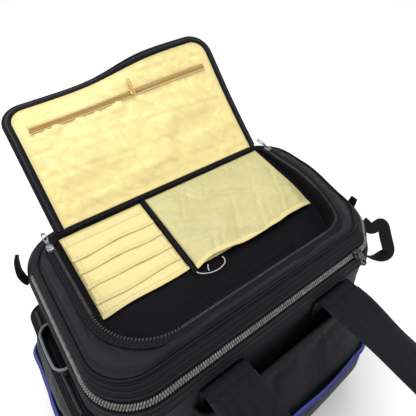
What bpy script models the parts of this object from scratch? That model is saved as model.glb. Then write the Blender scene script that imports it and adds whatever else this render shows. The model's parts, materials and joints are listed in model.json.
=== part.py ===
"""Soft flight bag standing upright, with its top organizer flap open.

The bag is a padded nylon box. Its whole top is a lid that hinges along the rear edge and closes
with one long zip round the left end, the front and the right end. A shallow organizer with its own
zipped flap is let into the lid. Metres, +Z up, +X to the bag's right end, -Y to its front. The
origin is the middle of the base. Every joint stands at zero.
"""

import math

import bmesh
import bpy
from mathutils import Vector

# ---- driving dimensions ---------------------------------------------------------------------
LID_Z = 0.290  # top of the closed lid
LID_HALF = (0.2255, 0.1222)  # half size of the lid's flat top, inside its piping
LID_CORNER = 0.052
LID_FOAM = 0.0065

WALL = 0.005  # padded body wall
SKIN = 0.0020  # single nylon layers and zip tapes
GAP = 0.0006  # clearance between sewn neighbours
ARC_STEPS = 6  # segments in each rounded corner
TRAY_STEPS = 8  # segments in the organizer's corners

# Rounded rectangles stacked from the lid's rim down to the body: half x, half y, height, corner
LID_BAND = ((0.2298, 0.1275, 0.2866, 0.056), (0.2355, 0.1432, 0.2786, 0.061))
LID_CHAIN = ((0.2358, 0.1438, 0.2781, 0.061), (0.2372, 0.1464, 0.2755, 0.062))
BODY_CHAIN = ((0.2375, 0.1470, 0.2749, 0.062), (0.2392, 0.1496, 0.2722, 0.063))
BODY_BAND = ((0.2395, 0.1502, 0.2714, 0.063), (0.2422, 0.1548, 0.2596, 0.066))
BODY_SIDE = (
    (0.2424, 0.1550, 0.2584, 0.066),
    (0.2415, 0.1540, 0.2000, 0.064),
    (0.2410, 0.1535, 0.1000, 0.062),
    (0.2370, 0.1505, 0.0140, 0.058),
    (0.2300, 0.1435, 0.0000, 0.052),
)
BASE_BOARD = 0.0030

LID_HINGE = (0.1467, 0.2752)  # y, z of the lid's rear seam

TRAY_HALF_X = 0.1965
TRAY_REAR, TRAY_FRONT = 0.1145, -0.1015
TRAY_FRONT_CORNER, TRAY_REAR_CORNER = 0.074, 0.010
TRAY_RIM_Z = 0.2893
TRAY_DEPTH_REAR, TRAY_DEPTH_FRONT = 0.0040, 0.0380
TRAY_WALL = 0.0015
TRAY_SLOPE = math.atan2(TRAY_DEPTH_FRONT - TRAY_DEPTH_REAR, TRAY_REAR - TRAY_FRONT)
TRACK_WIDTH = 0.0120

FLAP_HINGE = (0.1165, 0.2960)
FLAP_LEAN = math.radians(41.0)  # how far the open flap stands above the horizontal
FLAP_HALF_X = 0.1870
FLAP_LENGTH = 0.2180
FLAP_CORNER = 0.036
FLAP_ROOT = 0.0040  # from the hinge line to the flap's first stitch
FLAP_ZIP_S = 0.1630  # the gold zip's distance from the hinge
FLAP_ZIP_HALF = 0.1570

HANDLE_WIDTH, HANDLE_THICK = 0.0640, 0.0040
FRONT_HANDLE_X = (-0.1050, 0.0865)
FRONT_HANDLE_PIVOT = (-0.1770, 0.2500)
FRONT_HANDLE_REACH = 0.1900
FRONT_HANDLE_DROP = math.radians(4.0)
REAR_HANDLE_X = (-0.0865, 0.0865)
REAR_HANDLE_PIVOT = (0.1640, 0.2510)
REAR_HANDLE_REACH = 0.1800
HANDLE_BEND = 0.0620
HANDLE_GAP = 0.0030      # from a front tongue's end to the line that its strap swings about

FRONT_WALL_Y = 0.1560
FRONT_POCKET_HALF = 0.1450
FRONT_POCKET = (  # height, depth
    (0.2060, 0.0260),
    (0.1760, 0.0330),
    (0.1150, 0.0570),
    (0.0600, 0.0630),
    (0.0200, 0.0560),
    (0.0060, 0.0440),
)
END_WALL_X = 0.2436
END_POCKET_HALF = 0.0930
END_POCKET = (
    (0.2050, 0.0200),
    (0.1700, 0.0260),
    (0.1150, 0.0330),
    (0.0600, 0.0400),
    (0.0200, 0.0350),
    (0.0060, 0.0250),
)
POCKET_CORNER = 0.020
SLIP_GROWTH = 0.0050  # how far a slip pocket stands off the pocket behind it
SLIP_TOP = 0.1130
TRIM_HEIGHT = 0.0120

SLIDER_X = 0.1500
ORGANIZER_SLIDER = (0.2028, 0.1000)


# ---- helpers --------------------------------------------------------------------------------
def clear_scene():
    for obj in list(bpy.data.objects):
        bpy.data.objects.remove(obj, do_unlink=True)


def finish(name, rgb, roughness, metallic=0.0):
    """A plain Principled material for one piece."""
    material = bpy.data.materials.new(name)
    material.use_nodes = True
    shader = material.node_tree.nodes["Principled BSDF"]
    shader.inputs["Base Color"].default_value = (*rgb, 1.0)
    shader.inputs["Roughness"].default_value = roughness
    shader.inputs["Metallic"].default_value = metallic
    return material


BLACK_NYLON = ((0.020, 0.020, 0.026), 0.75)
BLACK_WEBBING = ((0.016, 0.016, 0.018), 0.80)
BLACK_TAPE = ((0.012, 0.012, 0.014), 0.70)
YELLOW_NYLON = ((0.80, 0.68, 0.30), 0.50)
GOLD_TAPE = ((0.58, 0.40, 0.14), 0.60)
BLUE_TRIM = ((0.055, 0.065, 0.36), 0.65)
GREY_BINDING = ((0.20, 0.20, 0.19), 0.70)
STEEL = ((0.42, 0.42, 0.42), 0.30, 1.0)
BLACK_METAL = ((0.05, 0.05, 0.055), 0.40, 0.8)
GOLD_METAL = ((0.80, 0.66, 0.42), 0.35, 1.0)
WHITE_CORD = ((0.80, 0.80, 0.78), 0.60)
BOARD = ((0.05, 0.05, 0.05), 0.60)


def new_empty(name, location, tilt=0.0, parent=None):
    """An axis marker on a joint, tilted about X."""
    empty = bpy.data.objects.new(name, None)
    empty.empty_display_size = 0.03
    empty.location = location
    empty.rotation_euler = (tilt, 0.0, 0.0)
    PARTS.objects.link(empty)
    bpy.context.view_layer.update()
    if parent:
        hang(empty, parent)
    return empty


def hang(child, parent):
    """Parents the child and leaves it where it stands."""
    child.parent = parent
    child.matrix_parent_inverse = parent.matrix_world.inverted()
    bpy.context.view_layer.update()


def new_object(name, mesh, look, parent=None, keep_place=True):
    """Links a mesh as a piece. keep_place is False for a mesh drawn in its parent's own frame."""
    obj = bpy.data.objects.new(name, mesh)
    PARTS.objects.link(obj)
    mesh.materials.append(finish(name, *look))
    if parent and keep_place:
        hang(obj, parent)
    elif parent:
        obj.parent = parent
    return obj


def rounded_outline(half_x, half_y, corners, steps=ARC_STEPS):
    """Rounded rectangle, anticlockwise from the right end: corners are rear-right, rear-left,
    front-left and front-right radii, or one radius for all."""
    radii = corners if isinstance(corners, tuple) else (corners,) * 4
    points = []
    for turn, radius in enumerate(radii):
        side_x = 1 if turn in (0, 3) else -1
        side_y = 1 if turn in (0, 1) else -1
        for step in range(steps + 1):
            angle = math.pi / 2 * (turn + step / steps)
            x = side_x * (half_x - radius) + radius * math.cos(angle)
            y = side_y * (half_y - radius) + radius * math.sin(angle)
            points.append((x, y))
    return points


def rings(levels, steps=ARC_STEPS):
    """Rounded rectangles at their heights, as rows of points."""
    return [
        [(x, y, z) for x, y in rounded_outline(half_x, half_y, radius, steps)]
        for half_x, half_y, z, radius in levels
    ]


def zip_run(row):
    """The part of a ring that the zip follows: all but the rear run and the rear corners."""
    corner = ARC_STEPS + 1
    return row[2 * corner - 1 :] + row[:1]


def rear_run(row):
    """The rest of the ring: the rear corners and the rear run."""
    return row[: 2 * (ARC_STEPS + 1)]


def surface_mesh(name, rows, closed=False, cap=False):
    """An open surface through rows of points; cap closes the last row with one face."""
    bm = bmesh.new()
    grid = [[bm.verts.new(point) for point in row] for row in rows]
    count = len(rows[0])
    for upper, lower in zip(grid, grid[1:]):
        for i in range(count if closed else count - 1):
            j = (i + 1) % count
            bm.faces.new((upper[i], lower[i], lower[j], upper[j]))
    if cap:
        bm.faces.new(grid[-1])
    bmesh.ops.recalc_face_normals(bm, faces=bm.faces)
    mesh = bpy.data.meshes.new(name)
    bm.to_mesh(mesh)
    bm.free()
    return mesh


def sheet(name, rows, look, thickness=SKIN, parent=None, closed=False, cap=False,
          offset=0.0, keep_place=True):
    """A cloth layer: a surface given its thickness by Solidify."""
    mesh = surface_mesh(name, rows, closed, cap)
    obj = new_object(name, mesh, look, parent, keep_place)
    shell = obj.modifiers.new("Thickness", "SOLIDIFY")
    shell.thickness = thickness
    shell.offset = offset
    shell.use_even_offset = True
    return obj


def plate(name, outline, bottom, thickness, look, parent=None, keep_place=True):
    """A flat outline raised to a thickness."""
    bm = bmesh.new()
    base = bm.faces.new([bm.verts.new((x, y, bottom)) for x, y in outline])
    raised = bmesh.ops.extrude_face_region(bm, geom=[base])["geom"]
    top = [item for item in raised if isinstance(item, bmesh.types.BMVert)]
    bmesh.ops.translate(bm, verts=top, vec=(0.0, 0.0, thickness))
    bmesh.ops.recalc_face_normals(bm, faces=bm.faces)
    mesh = bpy.data.meshes.new(name)
    bm.to_mesh(mesh)
    bm.free()
    return new_object(name, mesh, look, parent, keep_place)


def block(name, size, centre, look, parent=None, bevel=0.0, keep_place=False):
    """A cube primitive with its size in the mesh and its edges bevelled."""
    bm = bmesh.new()
    bmesh.ops.create_cube(bm, size=1.0)
    bmesh.ops.scale(bm, vec=size, verts=bm.verts)
    bmesh.ops.translate(bm, vec=centre, verts=bm.verts)
    mesh = bpy.data.meshes.new(name)
    bm.to_mesh(mesh)
    bm.free()
    obj = new_object(name, mesh, look, parent, keep_place)
    if bevel:
        edge = obj.modifiers.new("Edges", "BEVEL")
        edge.width = bevel
        edge.segments = 2
    return obj


def tube(name, points, radius, look, parent=None, cyclic=False, sides=2, keep_place=True):
    """A round cord or piping as a bevelled curve."""
    curve = bpy.data.curves.new(name, "CURVE")
    curve.dimensions = "3D"
    curve.bevel_depth = radius
    curve.bevel_resolution = sides
    curve.use_fill_caps = not cyclic
    spline = curve.splines.new("POLY")
    spline.points.add(len(points) - 1)
    for target, point in zip(spline.points, points):
        target.co = (*point, 1.0)
    spline.use_cyclic_u = cyclic
    return new_object(name, curve, look, parent, keep_place)


def smooth_path(points, per_span=5):
    """A Catmull-Rom curve through the route's own points."""
    route = [Vector(point) for point in points]
    route = [2 * route[0] - route[1], *route, 2 * route[-1] - route[-2]]
    path = []
    for before, start, end, after in zip(route, route[1:], route[2:], route[3:]):
        for step in range(per_span):
            t = step / per_span
            path.append(0.5 * (2 * start + (end - before) * t
                               + (2 * before - 5 * start + 4 * end - after) * t**2
                               + (3 * start - before - 3 * end + after) * t**3))
    return [tuple(point) for point in [*path, route[-2]]]


def webbing(name, points, across, width, look, thickness=SKIN, parent=None, per_span=4):
    """A flat strap along a smooth route, its width lying along the direction across."""
    half = Vector(across).normalized() * width / 2
    path = [Vector(point) for point in smooth_path(points, per_span)]
    rows = [[tuple(point + half) for point in path], [tuple(point - half) for point in path]]
    return sheet(name, rows, look, thickness, parent)


def pocket_row(half, depth, corner, z, steps=4):
    """One height of a pocket: from the wall at y = 0, round the front, back to the wall."""
    corner = min(corner, depth * 0.8)
    row = [(-half, 0.0, z)]
    for side in (-1, 1):
        for step in range(steps + 1):
            angle = math.pi / 2 * (step / steps if side < 0 else 1 - step / steps)
            x = side * (half - corner + corner * math.cos(angle))
            row.append((x, -depth + corner - corner * math.sin(angle), z))
    return [*row, (half, 0.0, z)]


def turned(row, wall, quarter):
    """Moves a pocket's row from its own wall to the bag's: quarter turns it to that side."""
    cosine, sine = round(math.cos(quarter)), round(math.sin(quarter))
    return [
        (x * cosine - (y - wall) * sine, x * sine + (y - wall) * cosine, z) for x, y, z in row
    ]


def pocket(name, half, levels, wall, quarter, look=BLACK_NYLON):
    """A pocket sewn to a wall: front, sides and floor, with its top open."""
    rows = [turned(pocket_row(half, depth, POCKET_CORNER, z), wall, quarter)
            for z, depth in levels]
    floor_z = levels[-1][0] - 0.002
    floor = [(x, y * 0.05, floor_z) for x, y, _ in pocket_row(half, levels[-1][1],
                                                             POCKET_CORNER, floor_z)]
    rows.append(turned(floor, wall, quarter))
    return sheet(name, rows, look)


def depth_at(levels, z):
    """A pocket's depth at a height, by straight lines between its levels."""
    for (high, near), (low, far) in zip(levels, levels[1:]):
        if low <= z <= high:
            return near + (far - near) * (high - z) / (high - low)
    return levels[-1][1]


def slip_pocket(name, half, levels, wall, quarter):
    """A thin outer pocket over the lower part of another, open at its top."""
    rows = []
    for z in (SLIP_TOP, 0.0850, 0.0600, 0.0350, 0.0220):
        depth = depth_at(levels, z) + SLIP_GROWTH
        rows.append(pocket_row(half + SLIP_GROWTH, depth, POCKET_CORNER + SLIP_GROWTH, z))
    rows = [[(x, min(y, -0.0040), z) for x, y, z in row] for row in rows]
    return sheet(name, [turned(row, wall, quarter) for row in rows], BLACK_NYLON)


def trim(name, half, levels, wall, quarter):
    """The coloured binding along a slip pocket's mouth."""
    rows = []
    for z in (SLIP_TOP + 0.0012 + TRIM_HEIGHT, SLIP_TOP + 0.0012):
        depth = depth_at(levels, SLIP_TOP) + SLIP_GROWTH
        rows.append(pocket_row(half + SLIP_GROWTH, depth, POCKET_CORNER + SLIP_GROWTH, z))
    rows = [[(x, min(y, -0.0040), z) for x, y, z in row] for row in rows]
    return sheet(name, [turned(row, wall, quarter) for row in rows], BLUE_TRIM, 0.0030)


# ---- body -----------------------------------------------------------------------------------
def build_body():
    sheet("body_shell", rings(BODY_SIDE), BLACK_NYLON, WALL, closed=True, cap=True, offset=-1.0)
    inner = (BODY_SIDE[-1][0] - 0.008, BODY_SIDE[-1][1] - 0.008)
    plate("base_board", rounded_outline(*inner, 0.044), WALL + GAP, BASE_BOARD, BOARD)
    sheet("body_zip_band", rings(BODY_BAND), BLACK_NYLON, closed=True)
    sheet("body_zip_chain", [zip_run(row) for row in rings(BODY_CHAIN)], BLACK_TAPE)
    sheet("rear_hinge_tape", [rear_run(row)[1:-1] for row in rings(BODY_CHAIN)], BLACK_TAPE)


def build_pockets():
    front = (FRONT_WALL_Y, 0.0)
    pocket("front_pocket", FRONT_POCKET_HALF, FRONT_POCKET, *front)
    slip_pocket("front_slip_pocket", FRONT_POCKET_HALF, FRONT_POCKET, *front)
    trim("front_trim", FRONT_POCKET_HALF, FRONT_POCKET, *front)
    rim_z, rim_depth = FRONT_POCKET[0]
    rim = turned(pocket_row(FRONT_POCKET_HALF, rim_depth, POCKET_CORNER, rim_z + 0.0026), *front)
    tube("front_pocket_piping", rim, 0.0022, BLACK_TAPE)
    for side, quarter in (("left", -math.pi / 2), ("right", math.pi / 2)):
        wall = (END_WALL_X, quarter)
        pocket(f"{side}_end_pocket", END_POCKET_HALF, END_POCKET, *wall)
        slip_pocket(f"{side}_slip_pocket", END_POCKET_HALF, END_POCKET, *wall)
        trim(f"{side}_trim", END_POCKET_HALF, END_POCKET, *wall)
        top_z, top_depth = END_POCKET[0]
        outer = pocket_row(END_POCKET_HALF, top_depth, POCKET_CORNER, top_z + 0.0022)
        sheet(f"{side}_pocket_zip", lid_rows(outer, top_depth, wall), BLACK_TAPE)


def lid_rows(outer, depth, wall):
    """A pocket's zipped top: from its front edge back to a line just off the wall."""
    outer = outer[1:-1]
    inner = [(x * 0.999, y * 0.06, z) for x, y, z in outer]
    return [turned(row, *wall) for row in (outer, inner)]


def build_sleeve():
    """A small pen sleeve on the left end, over the zipped pocket, with a grey bound mouth."""
    levels = ((0.2300, 0.0165), (0.2200, 0.0150), (0.2120, 0.0120))
    place = (END_WALL_X, -math.pi / 2)
    rows = [turned(pocket_row(0.0360, depth, 0.013, z), *place) for z, depth in levels]
    sheet("left_pen_sleeve", rows, BLACK_NYLON, 0.0016)
    rim = turned(pocket_row(0.0360, 0.0165, 0.013, 0.2322), *place)
    tube("left_sleeve_binding", rim, 0.0015, GREY_BINDING)


def handle_rows(xs, reach):
    """Outer and inner edges of a U-shaped strap lying in the XY plane, from y = 0 to -reach."""
    half = HANDLE_WIDTH / 2
    left, right = xs
    rows = []
    for edge in (half, -half):
        bend = HANDLE_BEND + edge
        far = -reach - edge
        row = [(left - edge, 0.0), (left - edge, (far + bend) * 0.5)]
        row += [(left - edge + bend - bend * math.cos(angle), far + bend - bend * math.sin(angle))
                for angle in arc_angles()]
        row += [(right + edge - bend + bend * math.cos(angle), far + bend - bend * math.sin(angle))
                for angle in reversed(arc_angles())]
        row += [(right + edge, (far + bend) * 0.5), (right + edge, 0.0)]
        rows.append([(x, y, 0.0) for x, y in row])
    return rows


def arc_angles(steps=6):
    return [math.pi / 2 * step / steps for step in range(steps + 1)]


def build_anchors(name, xs, route):
    """The sewn ends of a handle: one folded webbing tongue for each strap."""
    for side, x in zip(("left", "right"), xs):
        edges = (x - HANDLE_WIDTH / 2, x + HANDLE_WIDTH / 2)
        rows = [[(edge, y, z) for y, z in route] for edge in edges]
        sheet(f"{name}_{side}", rows, BLACK_WEBBING, 0.0024)


def build_handles():
    y, z = FRONT_HANDLE_PIVOT
    route = ((-0.1576, 0.2060), (-0.1576, 0.2400), (-0.1592, 0.2465), (-0.1640, 0.2495),
             (y + HANDLE_GAP, z))
    build_anchors("front_handle_anchor", FRONT_HANDLE_X, route)
    front = new_empty("front_handle_pivot", (0.0, y, z), FRONT_HANDLE_DROP)
    sheet("front_handle", handle_rows(FRONT_HANDLE_X, FRONT_HANDLE_REACH), BLACK_WEBBING,
          HANDLE_THICK, front, keep_place=False)
    y, z = REAR_HANDLE_PIVOT
    route = ((0.1576, 0.2000), (0.1576, 0.2440), (0.1590, 0.2500), (0.1622, 0.2530))
    build_anchors("rear_handle_anchor", REAR_HANDLE_X, route)
    rear = new_empty("rear_handle_pivot", (0.0, y, z), math.pi / 2)
    sheet("rear_handle", handle_rows(REAR_HANDLE_X, REAR_HANDLE_REACH), BLACK_WEBBING,
          HANDLE_THICK, rear, keep_place=False)


def build_loops():
    webbing("right_strap_loop",
            ((0.250, -0.107, 0.243), (0.256, -0.120, 0.236), (0.277, -0.134, 0.240),
             (0.272, -0.150, 0.222), (0.264, -0.168, 0.203), (0.252, -0.152, 0.186),
             (0.246, -0.128, 0.172)),
            (0.466, 0.554, -0.690), 0.0240, BLACK_WEBBING)
    webbing("left_strap_loop",
            ((-0.2470, 0.108, 0.244), (-0.2520, 0.112, 0.254), (-0.2560, 0.120, 0.268),
             (-0.2520, 0.132, 0.284), (-0.2460, 0.138, 0.290)),
            (0.5, 1.0, -0.2), 0.0200, BLACK_WEBBING)
    webbing("corner_tab",
            ((0.2460, -0.084, 0.250), (0.2468, -0.084, 0.266), (0.2485, -0.084, 0.288)),
            (0.0, 1.0, 0.0), 0.0180, BLACK_WEBBING)


# ---- lid ------------------------------------------------------------------------------------
def tray_outline(grow=0.0):
    """The organizer's plan: square at the hinge, generously rounded at the front."""
    centre = (TRAY_REAR + TRAY_FRONT) / 2
    half_y = (TRAY_REAR - TRAY_FRONT) / 2
    rear, front = TRAY_REAR_CORNER + grow, TRAY_FRONT_CORNER + grow
    outline = rounded_outline(TRAY_HALF_X + grow, half_y + grow, (rear, rear, front, front),
                              TRAY_STEPS)
    return [(x, y + centre) for x, y in outline]


def tray_floor(y):
    """Height of the organizer's sloping back panel."""
    share = (TRAY_REAR - y) / (TRAY_REAR - TRAY_FRONT)
    return LID_Z - TRAY_DEPTH_REAR - (TRAY_DEPTH_FRONT - TRAY_DEPTH_REAR) * share


def build_lid(lid):
    hole = tray_outline()
    rim = rounded_outline(*LID_HALF, LID_CORNER, TRAY_STEPS)
    middle = LID_Z - LID_FOAM / 2
    rows = [[(x, y, middle) for x, y in row] for row in (rim, hole)]
    sheet("lid_panel", rows, BLACK_NYLON, LID_FOAM, lid, closed=True)
    piping = rounded_outline(LID_HALF[0] + 0.0030, LID_HALF[1] + 0.0030, LID_CORNER + 0.003)
    tube("lid_piping", [(x, y, LID_Z - 0.0006) for x, y in piping], 0.0022, BLACK_TAPE, lid,
         cyclic=True)
    sheet("lid_zip_band", rings(LID_BAND), BLACK_NYLON, parent=lid, closed=True)
    sheet("lid_zip_chain", [zip_run(row) for row in rings(LID_CHAIN)], BLACK_TAPE, parent=lid)
    plan = tray_outline(grow=-GAP)
    tub = [[(x, y, TRAY_RIM_Z) for x, y in plan], [(x, y, tray_floor(y)) for x, y in plan]]
    sheet("organizer_tray", tub, BLACK_NYLON, TRAY_WALL, lid, closed=True, cap=True, offset=-1.0)


def build_track(lid):
    """The organizer's zip on the lid, round three sides of the tray."""
    corner = TRAY_STEPS + 1
    start, stop = 2 * corner - 1, 4 * corner
    inner = tray_outline(grow=0.0010)
    outer = tray_outline(grow=0.0010 + TRACK_WIDTH)
    rows = []
    for outline in (outer, inner):
        run = outline[start:stop] + outline[:1]
        rows.append([(x, y, LID_Z + 0.0014) for x, y in run])
    sheet("organizer_zip_track", rows, BLACK_TAPE, 0.0016, lid)
    for side, sign in (("left", -1), ("right", 1)):
        x, y = sign * ORGANIZER_SLIDER[0], ORGANIZER_SLIDER[1]
        slider = new_empty(f"{side}_slider_path", (x, y, LID_Z + 0.0028), parent=lid)
        block(f"organizer_slider_{side}", (0.0090, 0.0140, 0.0042), (0.0, 0.0, 0.0021), STEEL,
              slider, 0.0012)
        pivot = new_empty(f"{side}_pull_pivot", (x, y + 0.0045, LID_Z + 0.0084), parent=slider)
        pull_ring(f"organizer_pull_{side}", 0.0070, 0.0250, STEEL, pivot, 1)


def pull_ring(name, width, length, look, pivot, direction):
    """A flat zip pull with a long hole, lying from its pivot along direction on Y."""
    half = width / 2
    outer, inner = [], []
    for step in range(16):
        angle = 2 * math.pi * step / 16
        x, y = math.cos(angle), math.sin(angle)
        outer.append((half * x, direction * (length / 2 + (length / 2) * y), 0.0))
        inner.append((half * 0.45 * x, direction * (length * 0.56 + length * 0.30 * y), 0.0))
    return sheet(name, [outer, inner], look, 0.0014, pivot, closed=True, keep_place=False)


def build_main_slider(lid):
    y = -LID_HINGE[0]
    slider = new_empty("main_slider_path", (SLIDER_X, y, LID_HINGE[1]), math.radians(45), lid)
    block("main_zip_slider", (0.0150, 0.0110, 0.0056), (0.0, 0.0, 0.0046), BLACK_METAL, slider,
          0.0014)
    frame = Vector((0.0, math.cos(math.radians(45)), math.sin(math.radians(45))))
    up = Vector((0.0, -frame.z, frame.y))
    place = Vector((SLIDER_X, y, LID_HINGE[1])) + frame * 0.0020 + up * 0.0092
    pivot = new_empty("main_pull_pivot", place, math.radians(45), slider)
    pull_ring("main_zip_pull", 0.0110, 0.0200, BLACK_METAL, pivot, -1)


# ---- what lies in the organizer -------------------------------------------------------------
CARD_X = (-0.1875, -0.0585)
CARD_FRONT = -0.1320
CARD_MOUTHS = (-0.1180, -0.0930, -0.0680, -0.0430)
CARD_REAR = -0.0180
DIVIDER_X = -0.0535
POCKET_X = (-0.0485, 0.1850)
POCKET_MOUTH = -0.1450
POCKET_SLACK = 0.0110
LAYER, LAYER_STEP = 0.0007, 0.0011


def build_organizer(lid):
    """The yellow panels, drawn in the sloping frame of the tray's back panel."""
    place = (0.0, TRAY_REAR - 0.0030, tray_floor(TRAY_REAR - 0.0030) + TRAY_WALL + GAP)
    bed = new_empty("tray_bed", place, TRAY_SLOPE, lid)

    def flat(name, x_range, y_range, height, look, thickness=LAYER):
        rows = [[(x, y, height) for x in x_range] for y in y_range]
        return sheet(name, rows, look, thickness, bed, keep_place=False)

    flat("card_panel", CARD_X, (-0.0010, CARD_FRONT), 0.0005, YELLOW_NYLON)
    for number, mouth in enumerate(CARD_MOUTHS, start=1):
        flat(f"card_slot_{number}", (CARD_X[0] + 0.002, CARD_X[1] - 0.002), (CARD_REAR, mouth),
             0.0005 + number * LAYER_STEP, YELLOW_NYLON)
    flat("organizer_divider", (DIVIDER_X - 0.0030, DIVIDER_X + 0.0030), (-0.0010, POCKET_MOUTH),
         0.0008, BLACK_TAPE, 0.0012)

    rows = []
    for share in (0.0, 0.12, 0.35, 0.6, 0.85, 1.0):
        row = []
        for across in (0.0, 0.06, 0.2, 0.4, 0.6, 0.8, 0.94, 1.0):
            swell = math.sin(math.pi * across) ** 0.5 * math.sin(math.pi / 2 * share)
            x = POCKET_X[0] + (POCKET_X[1] - POCKET_X[0]) * across
            row.append((x, -0.0010 + (POCKET_MOUTH + 0.0010) * share,
                        0.0006 + POCKET_SLACK * swell))
        rows.append(row)
    sheet("document_pocket", rows, YELLOW_NYLON, 0.0008, bed, keep_place=False)

    loop = ((-0.0545, -0.1478, 0.0030), (-0.0500, -0.1530, 0.0024), (-0.0385, -0.1585, 0.0014),
            (-0.0245, -0.1605, 0.0014), (-0.0125, -0.1575, 0.0014), (-0.0085, -0.1520, 0.0020),
            (-0.0095, -0.1472, 0.0034))
    tube("key_leash", smooth_path(loop, 4), 0.0007, WHITE_CORD, bed, keep_place=False)
    tail = ((-0.0345, -0.1472, 0.0036), (-0.0370, -0.1510, 0.0032), (-0.0385, -0.1555, 0.0026))
    tube("key_leash_tail", smooth_path(tail, 3), 0.0007, WHITE_CORD, bed, keep_place=False)


# ---- flap -----------------------------------------------------------------------------------
def flap_outline(inset=0.0, steps=6):
    """The flap from its root at the hinge to its rounded free corners."""
    half = FLAP_HALF_X - inset
    radius = FLAP_CORNER - inset
    free = FLAP_LENGTH - inset
    points = [(half, FLAP_ROOT)]
    for side, turn in ((1, 0.0), (-1, math.pi / 2)):
        for step in range(steps + 1):
            angle = turn + math.pi / 2 * step / steps
            points.append((side * (half - radius) + radius * math.cos(angle),
                           free - radius + radius * math.sin(angle)))
    return [*points, (-half, FLAP_ROOT)]


def build_flap(lid):
    """Cover, inner pocket and lining, drawn in the flap's own plane."""
    flap = new_empty("flap_pivot", (0.0, *FLAP_HINGE), FLAP_LEAN, lid)
    plate("flap_cover", flap_outline(0.0024), -0.0042, 0.0020, BLACK_NYLON, flap, False)
    pouch = [(x, y) for x, y in flap_outline(0.0200) if y > FLAP_ROOT]
    pouch = [(FLAP_HALF_X - 0.02, 0.050), *pouch, (-FLAP_HALF_X + 0.02, 0.050)]
    plate("flap_pouch", pouch, -0.0018, 0.0008, YELLOW_NYLON, flap, False)
    plate("flap_lining", flap_outline(0.0120), -0.0006, 0.0012, YELLOW_NYLON, flap, False)
    tape = [[(x, y, 0.0) for x, y in flap_outline(inset)] for inset in (0.0024, 0.0112)]
    sheet("flap_zip_tape", tape, BLACK_TAPE, 0.0012, flap, keep_place=False)
    edge = [(x, y, -0.0018) for x, y in flap_outline(0.0)]
    tube("flap_binding", edge, 0.0020, BLACK_TAPE, flap, keep_place=False)
    zip_rows = [[(-FLAP_ZIP_HALF, y, 0.0016), (FLAP_ZIP_HALF, y, 0.0016)]
                for y in (FLAP_ZIP_S - 0.006, FLAP_ZIP_S + 0.006)]
    sheet("flap_pocket_zip", zip_rows, GOLD_TAPE, 0.0012, flap, keep_place=False)
    slider = bpy.data.objects.new("flap_slider_path", None)
    PARTS.objects.link(slider)
    slider.parent = flap
    slider.location = (0.0140, FLAP_ZIP_S, 0.0028)
    block("flap_pocket_slider", (0.0110, 0.0080, 0.0036), (0.0, 0.0, 0.0018), GOLD_METAL, slider,
          0.0010)
    pivot = bpy.data.objects.new("flap_pull_pivot", None)
    PARTS.objects.link(pivot)
    pivot.parent = slider
    pivot.location = (0.0, 0.0020, 0.0048)
    pull_ring("flap_pocket_pull", 0.0060, 0.0220, GOLD_METAL, pivot, 1)


def main():
    global PARTS
    clear_scene()
    PARTS = bpy.data.collections.new("flight_bag")
    bpy.context.scene.collection.children.link(PARTS)
    build_body()
    build_pockets()
    build_sleeve()
    build_handles()
    build_loops()
    lid = new_empty("lid_pivot", (0.0, *LID_HINGE))
    build_lid(lid)
    build_track(lid)
    build_main_slider(lid)
    build_organizer(lid)
    build_flap(lid)


main()
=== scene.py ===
"""A soft black flight bag: its looks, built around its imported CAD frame.

Sizes are in metres. X runs to the bag's right, Y to its rear and Z up. A piece is a grid of points
worked out from a formula, so a surface is a function of two numbers: one along its rows and one
along its columns. Its map, named cloth, is in metres of fabric, and the weaves follow it.
"""

import json
import logging
import math
from dataclasses import dataclass
from enum import Enum
from typing import Sequence

import bmesh
import bpy
import numpy as np
from mathutils import Matrix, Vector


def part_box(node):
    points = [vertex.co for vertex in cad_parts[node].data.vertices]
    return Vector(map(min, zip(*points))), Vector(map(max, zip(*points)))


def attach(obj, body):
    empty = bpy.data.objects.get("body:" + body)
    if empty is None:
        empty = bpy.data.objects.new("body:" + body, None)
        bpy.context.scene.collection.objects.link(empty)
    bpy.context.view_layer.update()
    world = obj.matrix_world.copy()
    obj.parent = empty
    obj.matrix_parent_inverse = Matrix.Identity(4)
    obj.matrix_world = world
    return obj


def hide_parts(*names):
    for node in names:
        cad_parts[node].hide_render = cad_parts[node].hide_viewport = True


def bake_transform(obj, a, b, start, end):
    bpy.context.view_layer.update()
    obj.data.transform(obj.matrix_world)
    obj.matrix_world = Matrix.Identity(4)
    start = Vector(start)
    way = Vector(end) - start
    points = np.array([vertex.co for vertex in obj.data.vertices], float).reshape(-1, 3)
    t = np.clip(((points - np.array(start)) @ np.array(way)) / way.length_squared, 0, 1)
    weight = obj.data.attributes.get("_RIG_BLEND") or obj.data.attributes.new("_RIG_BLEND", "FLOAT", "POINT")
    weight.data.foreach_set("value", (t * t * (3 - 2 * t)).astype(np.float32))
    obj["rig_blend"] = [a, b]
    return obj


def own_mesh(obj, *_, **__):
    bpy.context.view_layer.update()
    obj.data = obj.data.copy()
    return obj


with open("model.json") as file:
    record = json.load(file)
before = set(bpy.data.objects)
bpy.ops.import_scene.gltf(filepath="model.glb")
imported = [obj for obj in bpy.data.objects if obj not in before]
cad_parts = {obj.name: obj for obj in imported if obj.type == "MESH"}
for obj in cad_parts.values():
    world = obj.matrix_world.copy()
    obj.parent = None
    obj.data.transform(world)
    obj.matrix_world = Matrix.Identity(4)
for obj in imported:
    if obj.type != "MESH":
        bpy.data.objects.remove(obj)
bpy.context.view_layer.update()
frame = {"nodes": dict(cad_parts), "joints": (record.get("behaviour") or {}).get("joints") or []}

LOG = logging.getLogger("flight_bag")
MAP_NAME = "cloth"
WEAR_NAME = "wear"
FOLD_WAVES = 7
TUBE_SIDES = 10
SHARP_ANGLE = math.radians(50.0)
SLUMP_LEFT, SLUMP_BACK = 0.0210, 0.0120
Row = Sequence[float]
Rows = Sequence[Row]
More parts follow.
